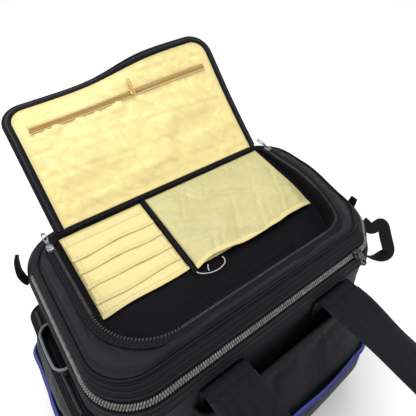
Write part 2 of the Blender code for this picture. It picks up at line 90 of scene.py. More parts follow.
X_AXIS, Y_AXIS, Z_AXIS = np.eye(3)


def pivot(name: str) -> Row:
    """Where a joint of the frame stands."""
    return next(joint["pos_m"] for joint in frame["joints"] if joint["name"] == name)


# ---- curves and surfaces --------------------------------------------------------------------
def unit(vectors: np.ndarray) -> np.ndarray:
    """Vectors over their own length, along the last axis."""
    return vectors / np.maximum(np.linalg.norm(vectors, axis=-1, keepdims=True), 1e-12)


def spline(points: Rows, count: int) -> np.ndarray:
    """A Catmull-Rom curve through the points, cut into equal steps.

    Each span is the cubic that meets its two points with slopes of half the distance between
    their neighbours. The steps are made equal by reading the curve at even arc lengths.

    Args:
        points: the points that the curve passes, of any dimension.
        count: how many points to return.

    Returns:
        The curve, count by dimension.
    """
    p = np.asarray(points, float)
    p = np.vstack([2 * p[0] - p[1], p, 2 * p[-1] - p[-2]])
    t = np.linspace(0, 1, 24, endpoint=False)[:, None, None]
    a, b, c, d = p[:-3], p[1:-2], p[2:-1], p[3:]
    fine = 0.5 * (2 * b + (c - a) * t + (2 * a - 5 * b + 4 * c - d) * t**2
                  + (3 * b - 3 * c + d - a) * t**3)
    fine = np.vstack([fine.transpose(1, 0, 2).reshape(-1, p.shape[1]), p[-2]])
    return even(fine, count)


def even(line: np.ndarray, count: int) -> np.ndarray:
    """A line of points read again at equal arc lengths."""
    length = np.concatenate([[0], np.cumsum(np.linalg.norm(np.diff(line, axis=0), axis=1))])
    at = np.linspace(0, length[-1], count)
    return np.stack([np.interp(at, length, column) for column in line.T], 1)


def span(line: np.ndarray) -> float:
    """The length of a line of points."""
    return float(np.linalg.norm(np.diff(line, axis=0), axis=1).sum())


def tangents(path: np.ndarray, closed: bool = False) -> np.ndarray:
    """The direction of a path at each point: the step from the point before to the one after."""
    if closed:
        return unit(np.roll(path, -1, 0) - np.roll(path, 1, 0))
    return unit(np.gradient(path, axis=0))


def sweep(path: np.ndarray, side: np.ndarray, normal: np.ndarray,
          profile: np.ndarray) -> np.ndarray:
    """A profile carried along a path: point = path + side * across + normal * height.

    Args:
        path: points, rows by 3.
        side: the direction of the profile's first number at each point, or one for all.
        normal: the direction of its second number.
        profile: columns by 2, or rows by columns by 2 where it changes along the path.

    Returns:
        Rows by columns by 3.
    """
    profile = np.broadcast_to(profile, (len(path), *profile.shape[-2:]))
    side, normal = (np.broadcast_to(v, path.shape)[:, None] for v in (side, normal))
    return path[:, None] + side * profile[..., :1] + normal * profile[..., 1:]


def upright(path: np.ndarray, up: Row, closed: bool = False) -> tuple[np.ndarray, np.ndarray]:
    """The side and normal of a path: side is square to its direction and up, normal to both."""
    along = tangents(path, closed)
    side = unit(np.cross(along, np.asarray(up, float)))
    return side, np.cross(side, along)


def oval(width: float, height: float, sides: int, power: float = 2.0) -> np.ndarray:
    """A closed superellipse: |x|^power + |y|^power = 1, scaled. Power 2 is an ellipse."""
    angle = np.arange(sides) * 2 * math.pi / sides
    c, s = np.cos(angle), np.sin(angle)
    shape = np.stack([np.sign(c) * np.abs(c) ** (2 / power),
                      np.sign(s) * np.abs(s) ** (2 / power)], 1)
    return shape * (width / 2, height / 2)


def ease(value: np.ndarray, low: float, high: float) -> np.ndarray:
    """0 below low, 1 above high, and a smooth cubic between them."""
    t = np.clip((value - low) / (high - low), 0, 1)
    return t * t * (3 - 2 * t)


def bell(value: np.ndarray, centre: float, width: float) -> np.ndarray:
    """A Gaussian hump of height 1."""
    return np.exp(-(((value - centre) / width) ** 2))


def folds(u: np.ndarray, v: np.ndarray, length: float, seed: int,
          stretch: float = 1.0) -> np.ndarray:
    """Soft creases from -1 to 1: the mean of sine waves in seeded directions.

    Args:
        u: first coordinate of each point.
        v: second coordinate.
        length: the wavelength that the waves keep near, in the coordinates' unit.
        seed: which set of directions and phases.
        stretch: above 1 the creases run along u.

    Returns:
        The sum over the square root of the number of waves.
    """
    random = np.random.default_rng(seed)
    total = np.zeros(np.broadcast(u, v).shape)
    for angle, phase, share in zip(random.uniform(0, math.pi, FOLD_WAVES),
                                   random.uniform(0, 2 * math.pi, FOLD_WAVES),
                                   random.uniform(0.6, 1.7, FOLD_WAVES)):
        wave = (u * math.cos(angle) / stretch + v * math.sin(angle)) / (length * share)
        total = total + np.sin(2 * math.pi * wave + phase + 0.8 * np.sin(wave * 3.1 + phase))
    return total / math.sqrt(FOLD_WAVES)


@dataclass(frozen=True)
class Plan:
    """A rounded rectangle seen from above, with the same number of points whatever its size.

    It starts at the right, at the front end of the rear corner, and runs anticlockwise. Each
    corner is a quarter circle, and each side is cut into equal steps.
    """

    along: int = 44
    across: int = 30
    corner: int = 12

    def points(self, left: Row, right: Row, front: Row, rear: Row, radii: Rows) -> np.ndarray:
        """The outline of each row.

        Args:
            left, right, front, rear: where the sides stand, one number for each row.
            radii: for each row, the corners rear right, rear left, front left, front right.

        Returns:
            Rows by columns by 2.
        """
        left, right, front, rear = (np.atleast_1d(np.asarray(v, float))
                                    for v in (left, right, front, rear))
        radii = np.broadcast_to(np.asarray(radii, float), (len(left), 4))
        turn = np.linspace(0, math.pi / 2, self.corner + 1)
        centres = ((right, rear, -1, -1), (left, rear, 1, -1), (left, front, 1, 1),
                   (right, front, -1, 1))
        corners = []
        for quarter, (x, y, sx, sy) in enumerate(centres):
            r = radii[:, quarter]
            angle = turn + quarter * math.pi / 2
            corners.append(np.stack([(x + sx * r)[:, None] + r[:, None] * np.cos(angle),
                                     (y + sy * r)[:, None] + r[:, None] * np.sin(angle)], -1))
        blocks = []
        for quarter, spans in enumerate((self.along, self.across, self.along, self.across)):
            start, stop = corners[quarter][:, -1:], corners[(quarter + 1) % 4][:, :1]
            share = (np.arange(1, spans) / spans)[None, :, None]
            blocks += [corners[quarter], start + (stop - start) * share]
        return np.concatenate(blocks, 1)

    def even(self, half_x: Row, half_y: Row, radius: Row) -> np.ndarray:
        """An outline centred on the origin with one radius for all four corners of a row."""
        half_x, half_y = np.atleast_1d(half_x), np.atleast_1d(half_y)
        return self.points(-half_x, half_x, -half_y, half_y, np.atleast_1d(radius)[:, None])

    def outward(self) -> np.ndarray:
        """Each column's direction away from the middle, columns by 2."""
        turn = np.linspace(0, math.pi / 2, self.corner + 1)
        angles = []
        for quarter, spans in enumerate((self.along, self.across, self.along, self.across)):
            angles += [turn + quarter * math.pi / 2,
                       np.full(spans - 1, (quarter + 1) * math.pi / 2)]
        angle = np.concatenate(angles)
        return np.stack([np.cos(angle), np.sin(angle)], 1)

    def from_rear(self) -> np.ndarray:
        """Column numbers of the zip's run: the left side, the front and the right side."""
        total = 2 * (self.along + self.across) + 4 * self.corner
        return np.arange(2 * self.corner + self.along, total + 1) % total

    def across_rear(self) -> np.ndarray:
        """Column numbers of the rest: the two rear corners and the rear side."""
        return np.arange(2 * self.corner + self.along + 1)


PLAN = Plan()


def loft(levels: Rows, rows: int) -> np.ndarray:
    """Rounded rectangles whose half width, half depth, height and corner are splined.

    Args:
        levels: half width, half depth, height and corner radius, from one end to the other.
        rows: how many rows to return.

    Returns:
        Rows by columns by 3.
    """
    half_x, half_y, height, corner = spline(levels, rows).T
    plan = PLAN.even(half_x, half_y, corner)
    return np.concatenate([plan, np.broadcast_to(height[:, None, None], (*plan.shape[:2], 1))], 2)


def moved(points: np.ndarray, amount: np.ndarray) -> np.ndarray:
    """Loft points pushed away from the bag's middle by an amount for each row and column."""
    outward = np.append(PLAN.outward(), np.zeros((points.shape[1], 1)), 1)
    return points + outward * np.asarray(amount)[..., None]


class Shape:
    """Patches and repeated small parts that together are one mesh."""

    def __init__(self) -> None:
        """An empty shape."""
        self.points: list[np.ndarray] = []
        self.corners: list[np.ndarray] = []
        self.sizes: list[np.ndarray] = []
        self.maps: list[np.ndarray] = []
        self.slots: list[np.ndarray] = []
        self.wear: list[np.ndarray] = []
        self.count = 0

    def _keep(self, points: np.ndarray, wear: np.ndarray | float) -> None:
        """Adds points and how worn each is."""
        self.points.append(points.reshape(-1, 3))
        self.wear.append(np.broadcast_to(np.asarray(wear, float), points.shape[:-1]).reshape(-1))
        self.count += len(self.points[-1])

    def _face(self, corners: np.ndarray, maps: np.ndarray, slot: int) -> None:
        """Adds faces that have the same number of corners, faces by corners."""
        self.corners.append(corners.reshape(-1))
        self.sizes.append(np.full(len(corners), corners.shape[1]))
        self.maps.append(maps.reshape(-1, 2))
        self.slots.append(np.full(len(corners), slot))

    def patch(self, points: np.ndarray, ring: bool = False, loop: bool = False, caps: bool = False,
              slot: int = 0, wear: np.ndarray | float = 0.0) -> "Shape":
        """Adds a grid of points, rows by columns by 3. The map is the grid's own arc lengths.

        Args:
            points: the grid.
            ring: whether the last column joins the first.
            loop: whether the last row joins the first.
            caps: whether a flat face closes the first row and the last.
            slot: which of the piece's materials.
            wear: 0 to 1, how worn each point is.

        Returns:
            The shape, so that calls can follow each other.
        """
        rows, columns = points.shape[:2]
        index = self.count + np.arange(rows * columns).reshape(rows, columns)
        self._keep(points, wear)
        grid = points
        if ring:
            index, grid = np.hstack([index, index[:, :1]]), np.hstack([grid, grid[:, :1]])
        if loop:
            index, grid = np.vstack([index, index[:1]]), np.vstack([grid, grid[:1]])
        across = np.linalg.norm(np.diff(grid, axis=1), axis=2).mean(0)
        down = np.linalg.norm(np.diff(grid, axis=0), axis=2).mean(1)
        u, v = (np.concatenate([[0], np.cumsum(step)]) for step in (across, down))
        maps = np.stack(np.broadcast_arrays(u[None], v[:, None]), -1)
        cut = (np.s_[:-1, :-1], np.s_[:-1, 1:], np.s_[1:, 1:], np.s_[1:, :-1])
        self._face(np.stack([index[c] for c in cut], -1).reshape(-1, 4),
                   np.stack([maps[c] for c in cut], -2).reshape(-1, 4, 2), slot)
        if caps:
            for row, order in ((0, -1), (-1, 1)):
                self._face(index[row, :columns][None, ::order],
                           points[row, :, :2][None, ::order], slot)
        return self

    def copies(self, solid: tuple[np.ndarray, Sequence[Sequence[int]]], origins: np.ndarray,
               axes: np.ndarray, slot: int) -> None:
        """Repeats a small closed solid: point = origin + x * axis 0 + y * axis 1 + z * axis 2.

        Args:
            solid: its points and faces.
            origins: where each copy stands, copies by 3.
            axes: its three axes, copies by 3 by 3.
            slot: which of the piece's materials.
        """
        points, faces = solid
        placed = origins[:, None] + np.einsum("kj,nji->nki", points, axes)
        start = self.count + np.arange(len(origins)) * len(points)
        self._keep(placed, 0.0)
        shift = np.linspace(0, 1, len(origins))[:, None, None]
        for face in faces:
            corners = np.asarray(face)
            self._face(start[:, None] + corners, points[corners][None, :, :2] + shift, slot)

    def make(self, name: str, finishes: Sequence["Finish"],
             weld: float = 1e-6) -> bpy.types.Object:
        """Turns the shape into an object at the origin, welded, with its faces outward.

        Args:
            name: the piece's name.
            finishes: one for each slot.
            weld: points closer than this are merged, or 0 to leave the mesh as it is.

        Returns:
            The new object.
        """
        mesh = bpy.data.meshes.new(name)
        points, corners = np.concatenate(self.points), np.concatenate(self.corners)
        sizes = np.concatenate(self.sizes)
        mesh.vertices.add(len(points))
        mesh.vertices.foreach_set("co", points.astype(np.float32).ravel())
        mesh.loops.add(len(corners))
        mesh.loops.foreach_set("vertex_index", corners.astype(np.int32))
        mesh.polygons.add(len(sizes))
        mesh.polygons.foreach_set("loop_start", (np.cumsum(sizes) - sizes).astype(np.int32))
        mesh.polygons.foreach_set("material_index", np.concatenate(self.slots).astype(np.int32))
        layer = mesh.uv_layers.new(name=MAP_NAME)
        layer.data.foreach_set("uv", np.concatenate(self.maps).astype(np.float32).ravel())
        mesh.attributes.new(WEAR_NAME, "FLOAT", "POINT").data.foreach_set(
            "value", np.concatenate(self.wear).astype(np.float32))
        mesh.update(calc_edges=True)
        mesh.validate()
        if weld:
            bm = bmesh.new()
            bm.from_mesh(mesh)
            bmesh.ops.remove_doubles(bm, verts=bm.verts, dist=weld)
            bmesh.ops.recalc_face_normals(bm, faces=bm.faces)
            bm.to_mesh(mesh)
            bm.free()
        mesh.polygons.foreach_set("use_smooth", np.ones(len(mesh.polygons), bool))
        mesh.set_sharp_from_angle(angle=SHARP_ANGLE)
        for finish in finishes:
            mesh.materials.append(finish.material())
        obj = bpy.data.objects.new(name, mesh)
        bpy.context.scene.collection.objects.link(obj)
        return obj


def prism(profile: np.ndarray, stations: Rows) -> tuple[np.ndarray, list[tuple[int, ...]]]:
    """A small closed solid: a profile in YZ, scaled and set along X at each station.

    Args:
        profile: corners by 2.
        stations: for each ring, its X, its scale and its shift in Z.

    Returns:
        Points and faces, with quads along the sides and one face at each end.
    """
    sides = len(profile)
    rings = [np.column_stack([np.full(sides, x), profile[:, 0] * scale,
                              profile[:, 1] * scale + lift])
             for x, scale, lift in stations]
    faces = [(r * sides + i, r * sides + (i + 1) % sides, (r + 1) * sides + (i + 1) % sides,
              (r + 1) * sides + i) for r in range(len(rings) - 1) for i in range(sides)]
    last = (len(rings) - 1) * sides
    faces += [tuple(range(sides))[::-1], tuple(range(last, last + sides))]
    return np.concatenate(rings), faces


STITCH = prism(oval(0.00052, 0.00052, 5), ((-0.0013, 0.4, -0.0002), (-0.0008, 1.0, 0.0001),
                                           (0.0008, 1.0, 0.0001), (0.0013, 0.4, -0.0002)))


def along(path: np.ndarray, up: np.ndarray | Row, pitch: float) -> tuple[np.ndarray, np.ndarray]:
    """Even places along a path and their axes: along it, across it and up from the surface."""
    count = max(2, int(round(span(path) / pitch)))
    at = np.linspace(0, len(path) - 1, count)
    step = np.arange(len(path))
    up = np.broadcast_to(np.asarray(up, float), path.shape)
    spot = np.stack([np.interp(at, step, c) for c in path.T], 1)
    ahead = tangents(spot)
    rise = np.stack([np.interp(at, step, c) for c in up.T], 1)
    across = unit(np.cross(rise, ahead))
    return spot, np.stack([ahead, across, np.cross(ahead, across)], 1)


def add_stitches(shape: Shape, path: np.ndarray, up: np.ndarray | Row, slot: int,
                 pitch: float = 0.0034) -> None:
    """Sews a row of stitches: a short bent thread at each pitch along the path."""
    spots, axes = along(path, up, pitch)
    shape.copies(STITCH, spots, axes, slot)


def add_tube(shape: Shape, path: np.ndarray, radius: float, closed: bool = False, slot: int = 0,
             wear: float = 0.0) -> None:
    """Adds a round cord or piping that follows a path."""
    side, normal = upright(path, Z_AXIS, closed)
    grid = sweep(path, side, normal, oval(2 * radius, 2 * radius, TUBE_SIDES))
    shape.patch(grid, ring=True, loop=closed, caps=not closed, slot=slot, wear=wear)


def add_strip(shape: Shape, path: np.ndarray, side: np.ndarray | Row, width: float,
              thickness: float, bow: float = 0.0, sides: int = 20, wear: float = 0.0) -> None:
    """Adds a flat tape: a superellipse much wider than it is thick, bowed across if asked."""
    side = unit(np.broadcast_to(np.asarray(side, float), path.shape))
    normal = unit(np.cross(side, tangents(path)))
    profile = oval(width, thickness, sides, 5.0)
    profile[:, 1] += bow * (1 - (2 * profile[:, 0] / width) ** 2)
    shape.patch(sweep(path, side, normal, profile), ring=True, caps=True, wear=wear)


def thicken(obj: bpy.types.Object, thickness: float) -> bpy.types.Object:
    """Gives a cloth layer its thickness, half on each side."""
    shell = obj.modifiers.new("Thickness", "SOLIDIFY")
    shell.thickness = thickness
    shell.offset = 0.0
    shell.use_even_offset = True
    return obj


def slump(obj: bpy.types.Object) -> None:
    """Draws the soft right-hand front corner in, as an empty bag's corner sinks.

    Points move left by up to 21 mm and back by up to 12 mm: a smooth step in x times one
    towards the front, times one that fades to nothing at the base.
    """
    flat = np.empty(len(obj.data.vertices) * 3, np.float32)
    obj.data.vertices.foreach_get("co", flat)
    x, y, z = flat.reshape(-1, 3).T
    side, high = ease(x, 0.150, 0.215), ease(z, -0.02, 0.16)
    x -= SLUMP_LEFT * side * ease(-y, -0.030, 0.085) * high
    y += SLUMP_BACK * side * ease(-y, 0.050, 0.130) * high
    obj.data.vertices.foreach_set("co", flat)
    obj.data.update()


def place(obj: bpy.types.Object, body: str, slot: str, *nodes: str) -> bpy.types.Object:
    """Rides a piece on its body and hides the CAD nodes that it stands for."""
    if body in ("bag", "lid"):
        slump(obj)
    if "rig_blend" not in obj:
        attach(obj, body)
    if nodes:
        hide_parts(*nodes)
    LOG.info("%s on %s, %d faces", obj.name, body, len(obj.data.polygons))
    return obj


def settle(obj: bpy.types.Object, pinned: np.ndarray, pressure: float, slack: float, cap: float,
           frames: int = 16) -> bpy.types.Object:
    """Lets a cloth layer find its own creases by simulation, and keeps the result.

    Args:
        obj: an open layer without modifiers.
        pinned: 0 to 1 for each vertex, how firmly it is sewn down.
        pressure: what pushes it along its normals.
        slack: how much longer the cloth is than its shape, as a share.
        cap: the furthest that a point may move.
        frames: how many steps the simulation runs.

    Returns:
        The same object, with its new shape in its mesh.
    """
    group = obj.vertex_groups.new(name="sewn")
    for level in np.unique(np.round(pinned, 1)):
        chosen = np.flatnonzero(np.round(pinned, 1) == level)
        group.add([int(i) for i in chosen], float(level), "REPLACE")
    cloth = obj.modifiers.new("Cloth", "CLOTH")
    cloth.settings.quality = 6
    cloth.settings.mass = 0.15
    cloth.settings.tension_stiffness = cloth.settings.compression_stiffness = 30.0
    cloth.settings.shear_stiffness = 20.0
    cloth.settings.bending_stiffness = 0.15
    cloth.settings.air_damping = 4.0
    cloth.settings.vertex_group_mass = group.name
    cloth.settings.use_pressure = abs(pressure) > 0
    cloth.settings.uniform_pressure_force = pressure
    cloth.settings.shrink_min = -slack
    cloth.settings.effector_weights.gravity = 0.0
    cloth.collision_settings.use_collision = False
    cloth.point_cache.frame_start, cloth.point_cache.frame_end = 1, frames
    scene = bpy.context.scene
    for step in range(1, frames + 1):
        scene.frame_set(step)
    count = len(obj.data.vertices)
    before, after = np.empty(count * 3, np.float32), np.empty(count * 3, np.float32)
    obj.data.vertices.foreach_get("co", before)
    evaluated = obj.evaluated_get(bpy.context.evaluated_depsgraph_get())
    evaluated.data.vertices.foreach_get("co", after)
    shift = np.nan_to_num((after - before).reshape(-1, 3))
    length = np.linalg.norm(shift, axis=1, keepdims=True)
    shift *= np.minimum(1.0, cap / np.maximum(length, 1e-9))
    obj.modifiers.remove(cloth)
    obj.vertex_groups.remove(group)
    obj.data.vertices.foreach_set("co", before + shift.ravel().astype(np.float32))
    obj.data.update()
    scene.frame_set(1)
    return obj


# ---- finishes -------------------------------------------------------------------------------
class Wire:
    """A node's output. Python's operators on it add Math nodes."""

    def __init__(self, shader: "Shader", socket: bpy.types.NodeSocket) -> None:
        """Wraps a socket of a shader."""
        self.shader = shader
        self.socket = socket

    def _math(self, operation: str, *values: "Wire | float") -> "Wire":
        """Adds a Math node of that operation."""
        return self.shader.node("ShaderNodeMath", {"operation": operation},
                                dict(enumerate(values)))

    def __add__(self, other: "Wire | float") -> "Wire":
        """self + other."""
        return self._math("ADD", self, other)

    def __sub__(self, other: "Wire | float") -> "Wire":
        """self - other."""
        return self._math("SUBTRACT", self, other)

    def __mul__(self, other: "Wire | float") -> "Wire":
        """self * other."""
        return self._math("MULTIPLY", self, other)

    def __truediv__(self, other: "Wire | float") -> "Wire":
        """self / other."""
        return self._math("DIVIDE", self, other)

    def sine(self) -> "Wire":
        """The sine of self."""
        return self._math("SINE", self)

    def size(self) -> "Wire":
        """The absolute value of self."""
        return self._math("ABSOLUTE", self)

    def clamp(self) -> "Wire":
        """Self held between 0 and 1."""
        return self._math("MINIMUM", self._math("MAXIMUM", self, 0.0), 1.0)


Colour = tuple[float, float, float]


class Shader:
    """A material's node tree."""

    def __init__(self, name: str) -> None:
        """An empty material of that name."""
        self.material = bpy.data.materials.new(name)
        self.material.use_nodes = True
        self.tree = self.material.node_tree
        self.tree.nodes.clear()

    def node(self, kind: str, settings: dict | None = None, values: dict | None = None,
             output: int | str = 0) -> Wire:
        """Adds a node.

        Args:
            kind: the node's type.
            settings: its own properties, set first.
            values: number, colour or Wire for each input, by name or number.
            output: which output to return.

        Returns:
            That output.
        """
        made = self.tree.nodes.new(kind)
        for key, value in (settings or {}).items():
            setattr(made, key, value)
        for key, value in (values or {}).items():
            if isinstance(value, Wire):
                self.tree.links.new(value.socket, made.inputs[key])
            else:
                made.inputs[key].default_value = value
        return Wire(self, made.outputs[output] if made.outputs else None)

    def cloth_map(self) -> tuple[Wire, Wire]:
        """The piece's own map, in metres: across the cloth and along it."""
        both = self.node("ShaderNodeUVMap", {"uv_map": MAP_NAME})
        parts = self.node("ShaderNodeSeparateXYZ", values={0: both}).socket.node.outputs
        return Wire(self, parts[0]), Wire(self, parts[1])

    def place(self) -> Wire:
        """The point in the object's own frame."""
        return self.node("ShaderNodeTexCoord", output="Object")

    def noise(self, scale: float, detail: float = 3.0, rough: float = 0.55,
              at: Wire | None = None) -> Wire:
        """Noise from 0 to 1 at that many waves a metre."""
        return self.node("ShaderNodeTexNoise", None,
                         {"Vector": at or self.place(), "Scale": scale, "Detail": detail,
                          "Roughness": rough})

    def mix(self, low: Colour | Wire, high: Colour | Wire, share: Wire) -> Wire:
        """Two colours mixed by a share."""
        low, high = (c if isinstance(c, Wire) else (*c, 1.0) for c in (low, high))
        return self.node("ShaderNodeMix", {"data_type": "RGBA"},
                         {"Factor": share, 6: low, 7: high}, 2)

    def wear(self) -> Wire:
        """How worn the surface is, from the mesh."""
        return self.node("ShaderNodeAttribute", {"attribute_name": WEAR_NAME}, output="Fac")

    def bump(self, height: Wire, depth: float, under: Wire | None = None,
             strength: float = 1.0) -> Wire:
        """A relief of that depth in metres, over another if there is one."""
        values = {"Height": height, "Distance": depth, "Strength": strength}
        if under:
            values["Normal"] = under
        return self.node("ShaderNodeBump", None, values)

    def finish(self, **sockets: "Wire | float | Colour") -> bpy.types.Material:
        """Closes the tree with a Principled shader.

        Args:
            sockets: values by socket name, with _ for a space.

        Returns:
            The material.
        """
        values = {key.replace("_", " "): (*value, 1.0) if isinstance(value, tuple) else value
                  for key, value in sockets.items()}
        surface = self.node("ShaderNodeBsdfPrincipled", None, values)
        self.node("ShaderNodeOutputMaterial", None, {"Surface": surface})
        return self.material


class Weave(Enum):
    """How a cloth's threads cross."""

    PLAIN = "plain"
    BASKET = "basket"
    TWILL = "twill"
    RIB = "rib"
    HERRINGBONE = "herringbone"


@dataclass(frozen=True)
class Finish:
    """A material that is made once and shared."""

    name: str
    colour: Colour

    def paint(self, shader: Shader) -> bpy.types.Material:
        """Builds the nodes. Each kind of material has its own."""
        raise NotImplementedError

    def material(self) -> bpy.types.Material:
        """The material, made the first time that it is asked for."""
        return bpy.data.materials.get(self.name) or self.paint(Shader(self.name))


@dataclass(frozen=True)
class Cloth(Finish):
    """Woven cloth: threads, uneven dye, soft creases, and wear where the mesh says so."""

    worn: Colour
    weave: Weave
    pitch: float
    relief: float
    roughness: float = 0.62
    sheen: float = 0.25
    sheen_roughness: float = 0.4
    crinkle: float = 0.0
    crinkle_scale: float = 60.0
    gloss: float = 0.22

    def threads(self, u: Wire, v: Wire) -> Wire:
        """The weave's height from 0 to 1.

        Plain is the product of two sines, a chequer of thread humps. Basket is the same at twice
        the pitch with fine threads over it. Twill is a sine of u + v broken by one of u - v. Rib
        is the absolute sine along the cloth. Herringbone is twill that turns at each stripe.
        """
        turn = math.pi / self.pitch
        if self.weave is Weave.RIB:
            return (v * turn).sine().size() * 0.8 + (u * turn * 1.7).sine().size() * 0.2
        if self.weave is Weave.TWILL:
            return ((u + v) * turn).sine().size() * 0.75 + ((u - v) * turn).sine().size() * 0.25
        if self.weave is Weave.HERRINGBONE:
            stripe = (u * turn / 4).sine().size() * (4 / turn)
            diagonal = ((stripe * 1.3 + v) * turn).sine().size()
            return diagonal * 0.8 + (u * turn / 4).sine().size() * 0.2
        chequer = (u * turn).sine() * (v * turn).sine() * 0.5 + 0.5
        if self.weave is Weave.PLAIN:
            return chequer
        return chequer * 0.7 + ((u * turn * 4).sine().size() + (v * turn * 4).sine().size()) * 0.15

    def paint(self, shader: Shader) -> bpy.types.Material:
        """Painted shade darkens the weave between its thread humps, and dye, lint and wear vary over the
        surface.
        """
        place = shader.place()
        height = self.threads(*shader.cloth_map())
        broad = shader.noise(9.0, 4.0, at=place)
        lint = shader.noise(900.0, 2.0, at=place)
        worn = (shader.wear() * (broad * 0.9 + lint * 0.6)).clamp()
        # shade is painted shade for the weave's hollows, mixed in by thread height; the broad noise adds
        # uneven dye
        shade = tuple(c * 0.55 for c in self.colour)
        base = shader.mix(shade, self.colour, (height * 0.55 + 0.2 + broad * 0.5).clamp())
        base = shader.mix(base, self.worn, (worn + (lint - 0.62).clamp() * 0.5).clamp())
        roughness = (broad * 0.16 + self.roughness - 0.08 + worn * 0.1).clamp()
        normal = None
        if self.crinkle:
            creases = shader.noise(self.crinkle_scale, 5.0, 0.6, place)
            normal = shader.bump((creases - 0.5).size(), self.crinkle)
        normal = shader.bump(height + lint * 0.3, self.relief, normal, 0.8)
        return shader.finish(Base_Color=base, Roughness=roughness, Normal=normal,
                             Specular_IOR_Level=self.gloss, Sheen_Weight=self.sheen,
                             Sheen_Roughness=self.sheen_roughness)


@dataclass(frozen=True)
class Metal(Finish):
    """Cast zip metal: fine scratches, dull hollows, and its bare colour where it is worn."""

    bare: Colour
    roughness: float = 0.28
    metallic: float = 1.0

    def paint(self, shader: Shader) -> bpy.types.Material:
        """Scratches are stretched noise in the roughness and the relief."""
        place = shader.place()
        long = shader.node("ShaderNodeMapping", None,
                           {"Vector": place, "Scale": (2600.0, 260.0, 900.0)})
        scratch = shader.noise(1.0, 4.0, 0.7, long)
        patch = shader.noise(420.0, 3.0, at=place)
        worn = ((patch - 0.52) * 4.0 + shader.wear() * 0.7).clamp()
        base = shader.mix(self.colour, self.bare, worn)
        return shader.finish(Base_Color=base, Metallic=self.metallic,
                             Roughness=(scratch * 0.22 + self.roughness - 0.08).clamp(),
                             Normal=shader.bump(scratch, 0.00004, None, 0.6))


@dataclass(frozen=True)
class Coil(Finish):
    """Nylon zip teeth: smooth monofilament, with patches of pale painted highlight on the teeth."""

    pale: Colour
    roughness: float = 0.34

    def paint(self, shader: Shader) -> bpy.types.Material:
        """A broad noise picks the teeth that get the pale painted highlight, worn places get paler too, and
        a fine noise of grime breaks it up.
        """
        place = shader.place()
        patch = shader.noise(260.0, 2.0, at=place)
        grime = shader.noise(1400.0, 3.0, at=place)
        # share of pale: painted highlight in broad noise patches, plus real wear from the mesh
        share = ((patch - 0.35) * 1.6 + shader.wear() * 0.5).clamp()
        base = shader.mix(self.colour, self.pale, share * (grime * 0.5 + 0.6))
        return shader.finish(Base_Color=base,
                             Roughness=(grime * 0.3 + self.roughness - 0.1).clamp(),
                             Specular_IOR_Level=0.25,
                             Normal=shader.bump(grime, 0.00005, None, 0.5))


@dataclass(frozen=True)
class Thread(Finish):
    """Sewing thread or a laid cord: two or three strands turned about each other."""

    pitch: float = 0.0009
    roughness: float = 0.5

    def paint(self, shader: Shader) -> bpy.types.Material:
        """The strands are a sine of the two map directions added, with painted shade in the grooves between
        them.
        """
        u, v = shader.cloth_map()
        turns = ((u * 1.4 + v) * (math.pi / self.pitch)).sine().size()
        fuzz = shader.noise(1800.0, 2.0)
        # the darker colour is painted shade in the grooves between the strands; fuzz varies it at random
        base = shader.mix(tuple(c * 0.6 for c in self.colour), self.colour,
                          (turns * 0.8 + fuzz * 0.4).clamp())
        return shader.finish(Base_Color=base, Roughness=(fuzz * 0.2 + self.roughness).clamp(),
                             Specular_IOR_Level=0.15, Sheen_Weight=0.02,
                             Normal=shader.bump(turns, 0.00012))


@dataclass(frozen=True)
class Board(Finish):
    """Pressed fibre board."""

    def paint(self, shader: Shader) -> bpy.types.Material:
        """Flecks of two sizes."""
        coarse, fine = shader.noise(220.0, 4.0), shader.noise(1500.0, 2.0)
        base = shader.mix(tuple(c * 0.7 for c in self.colour), self.colour,
                          (coarse * 0.7 + fine * 0.4).clamp())
        return shader.finish(Base_Color=base, Roughness=(fine * 0.2 + 0.7).clamp(),
                             Normal=shader.bump(coarse + fine, 0.0002))


BLACK = (0.0048, 0.0048, 0.0072)
WORN_BLACK = (0.018, 0.018, 0.024)
NYLON = Cloth("black_pack_nylon", BLACK, WORN_BLACK, Weave.BASKET, 0.0011, 0.00022,
              roughness=0.55, sheen=0.030, crinkle=0.0026, crinkle_scale=30.0, gloss=0.11)
TWILL = Cloth("black_twill_nylon", (0.0058, 0.0062, 0.0098), WORN_BLACK, Weave.TWILL, 0.0016,
              0.00030, roughness=0.44, sheen=0.03, crinkle=0.0030, crinkle_scale=26.0, gloss=0.20)
TAPE = Cloth("black_grosgrain", (0.0045, 0.0045, 0.0060), WORN_BLACK, Weave.RIB, 0.0010, 0.00020,
             roughness=0.60, sheen=0.01, gloss=0.09)
WEBBING = Cloth("black_strap_weave", (0.0060, 0.0060, 0.0085), (0.026, 0.026, 0.032),
                Weave.HERRINGBONE, 0.0034, 0.00090, roughness=0.56, sheen=0.0, gloss=0.09,
                crinkle=0.0016, crinkle_scale=22.0)
INSIDE = Cloth("black_inner_cloth", (0.0050, 0.0050, 0.0070), (0.018, 0.018, 0.022), Weave.PLAIN,
               0.0008, 0.00012, roughness=0.60, sheen=0.02, crinkle=0.0008, crinkle_scale=30.0,
               gloss=0.06)
YELLOW = Cloth("yellow_lining", (0.860, 0.720, 0.300), (0.92, 0.84, 0.50), Weave.PLAIN, 0.0006,
               0.00008, roughness=0.36, sheen=0.05, crinkle=0.0040, crinkle_scale=26.0, gloss=0.5)
# A darker copy of the lining's yellow: painted shade for the card slots, hems and pocket back down in the
# lid's recess.
SHADED_YELLOW = Cloth("yellow_pocket_cloth", (0.760, 0.650, 0.275), (0.86, 0.78, 0.46), Weave.PLAIN,
                    0.0006, 0.00008, roughness=0.40, sheen=0.05, crinkle=0.0026,
                    crinkle_scale=34.0, gloss=0.45)
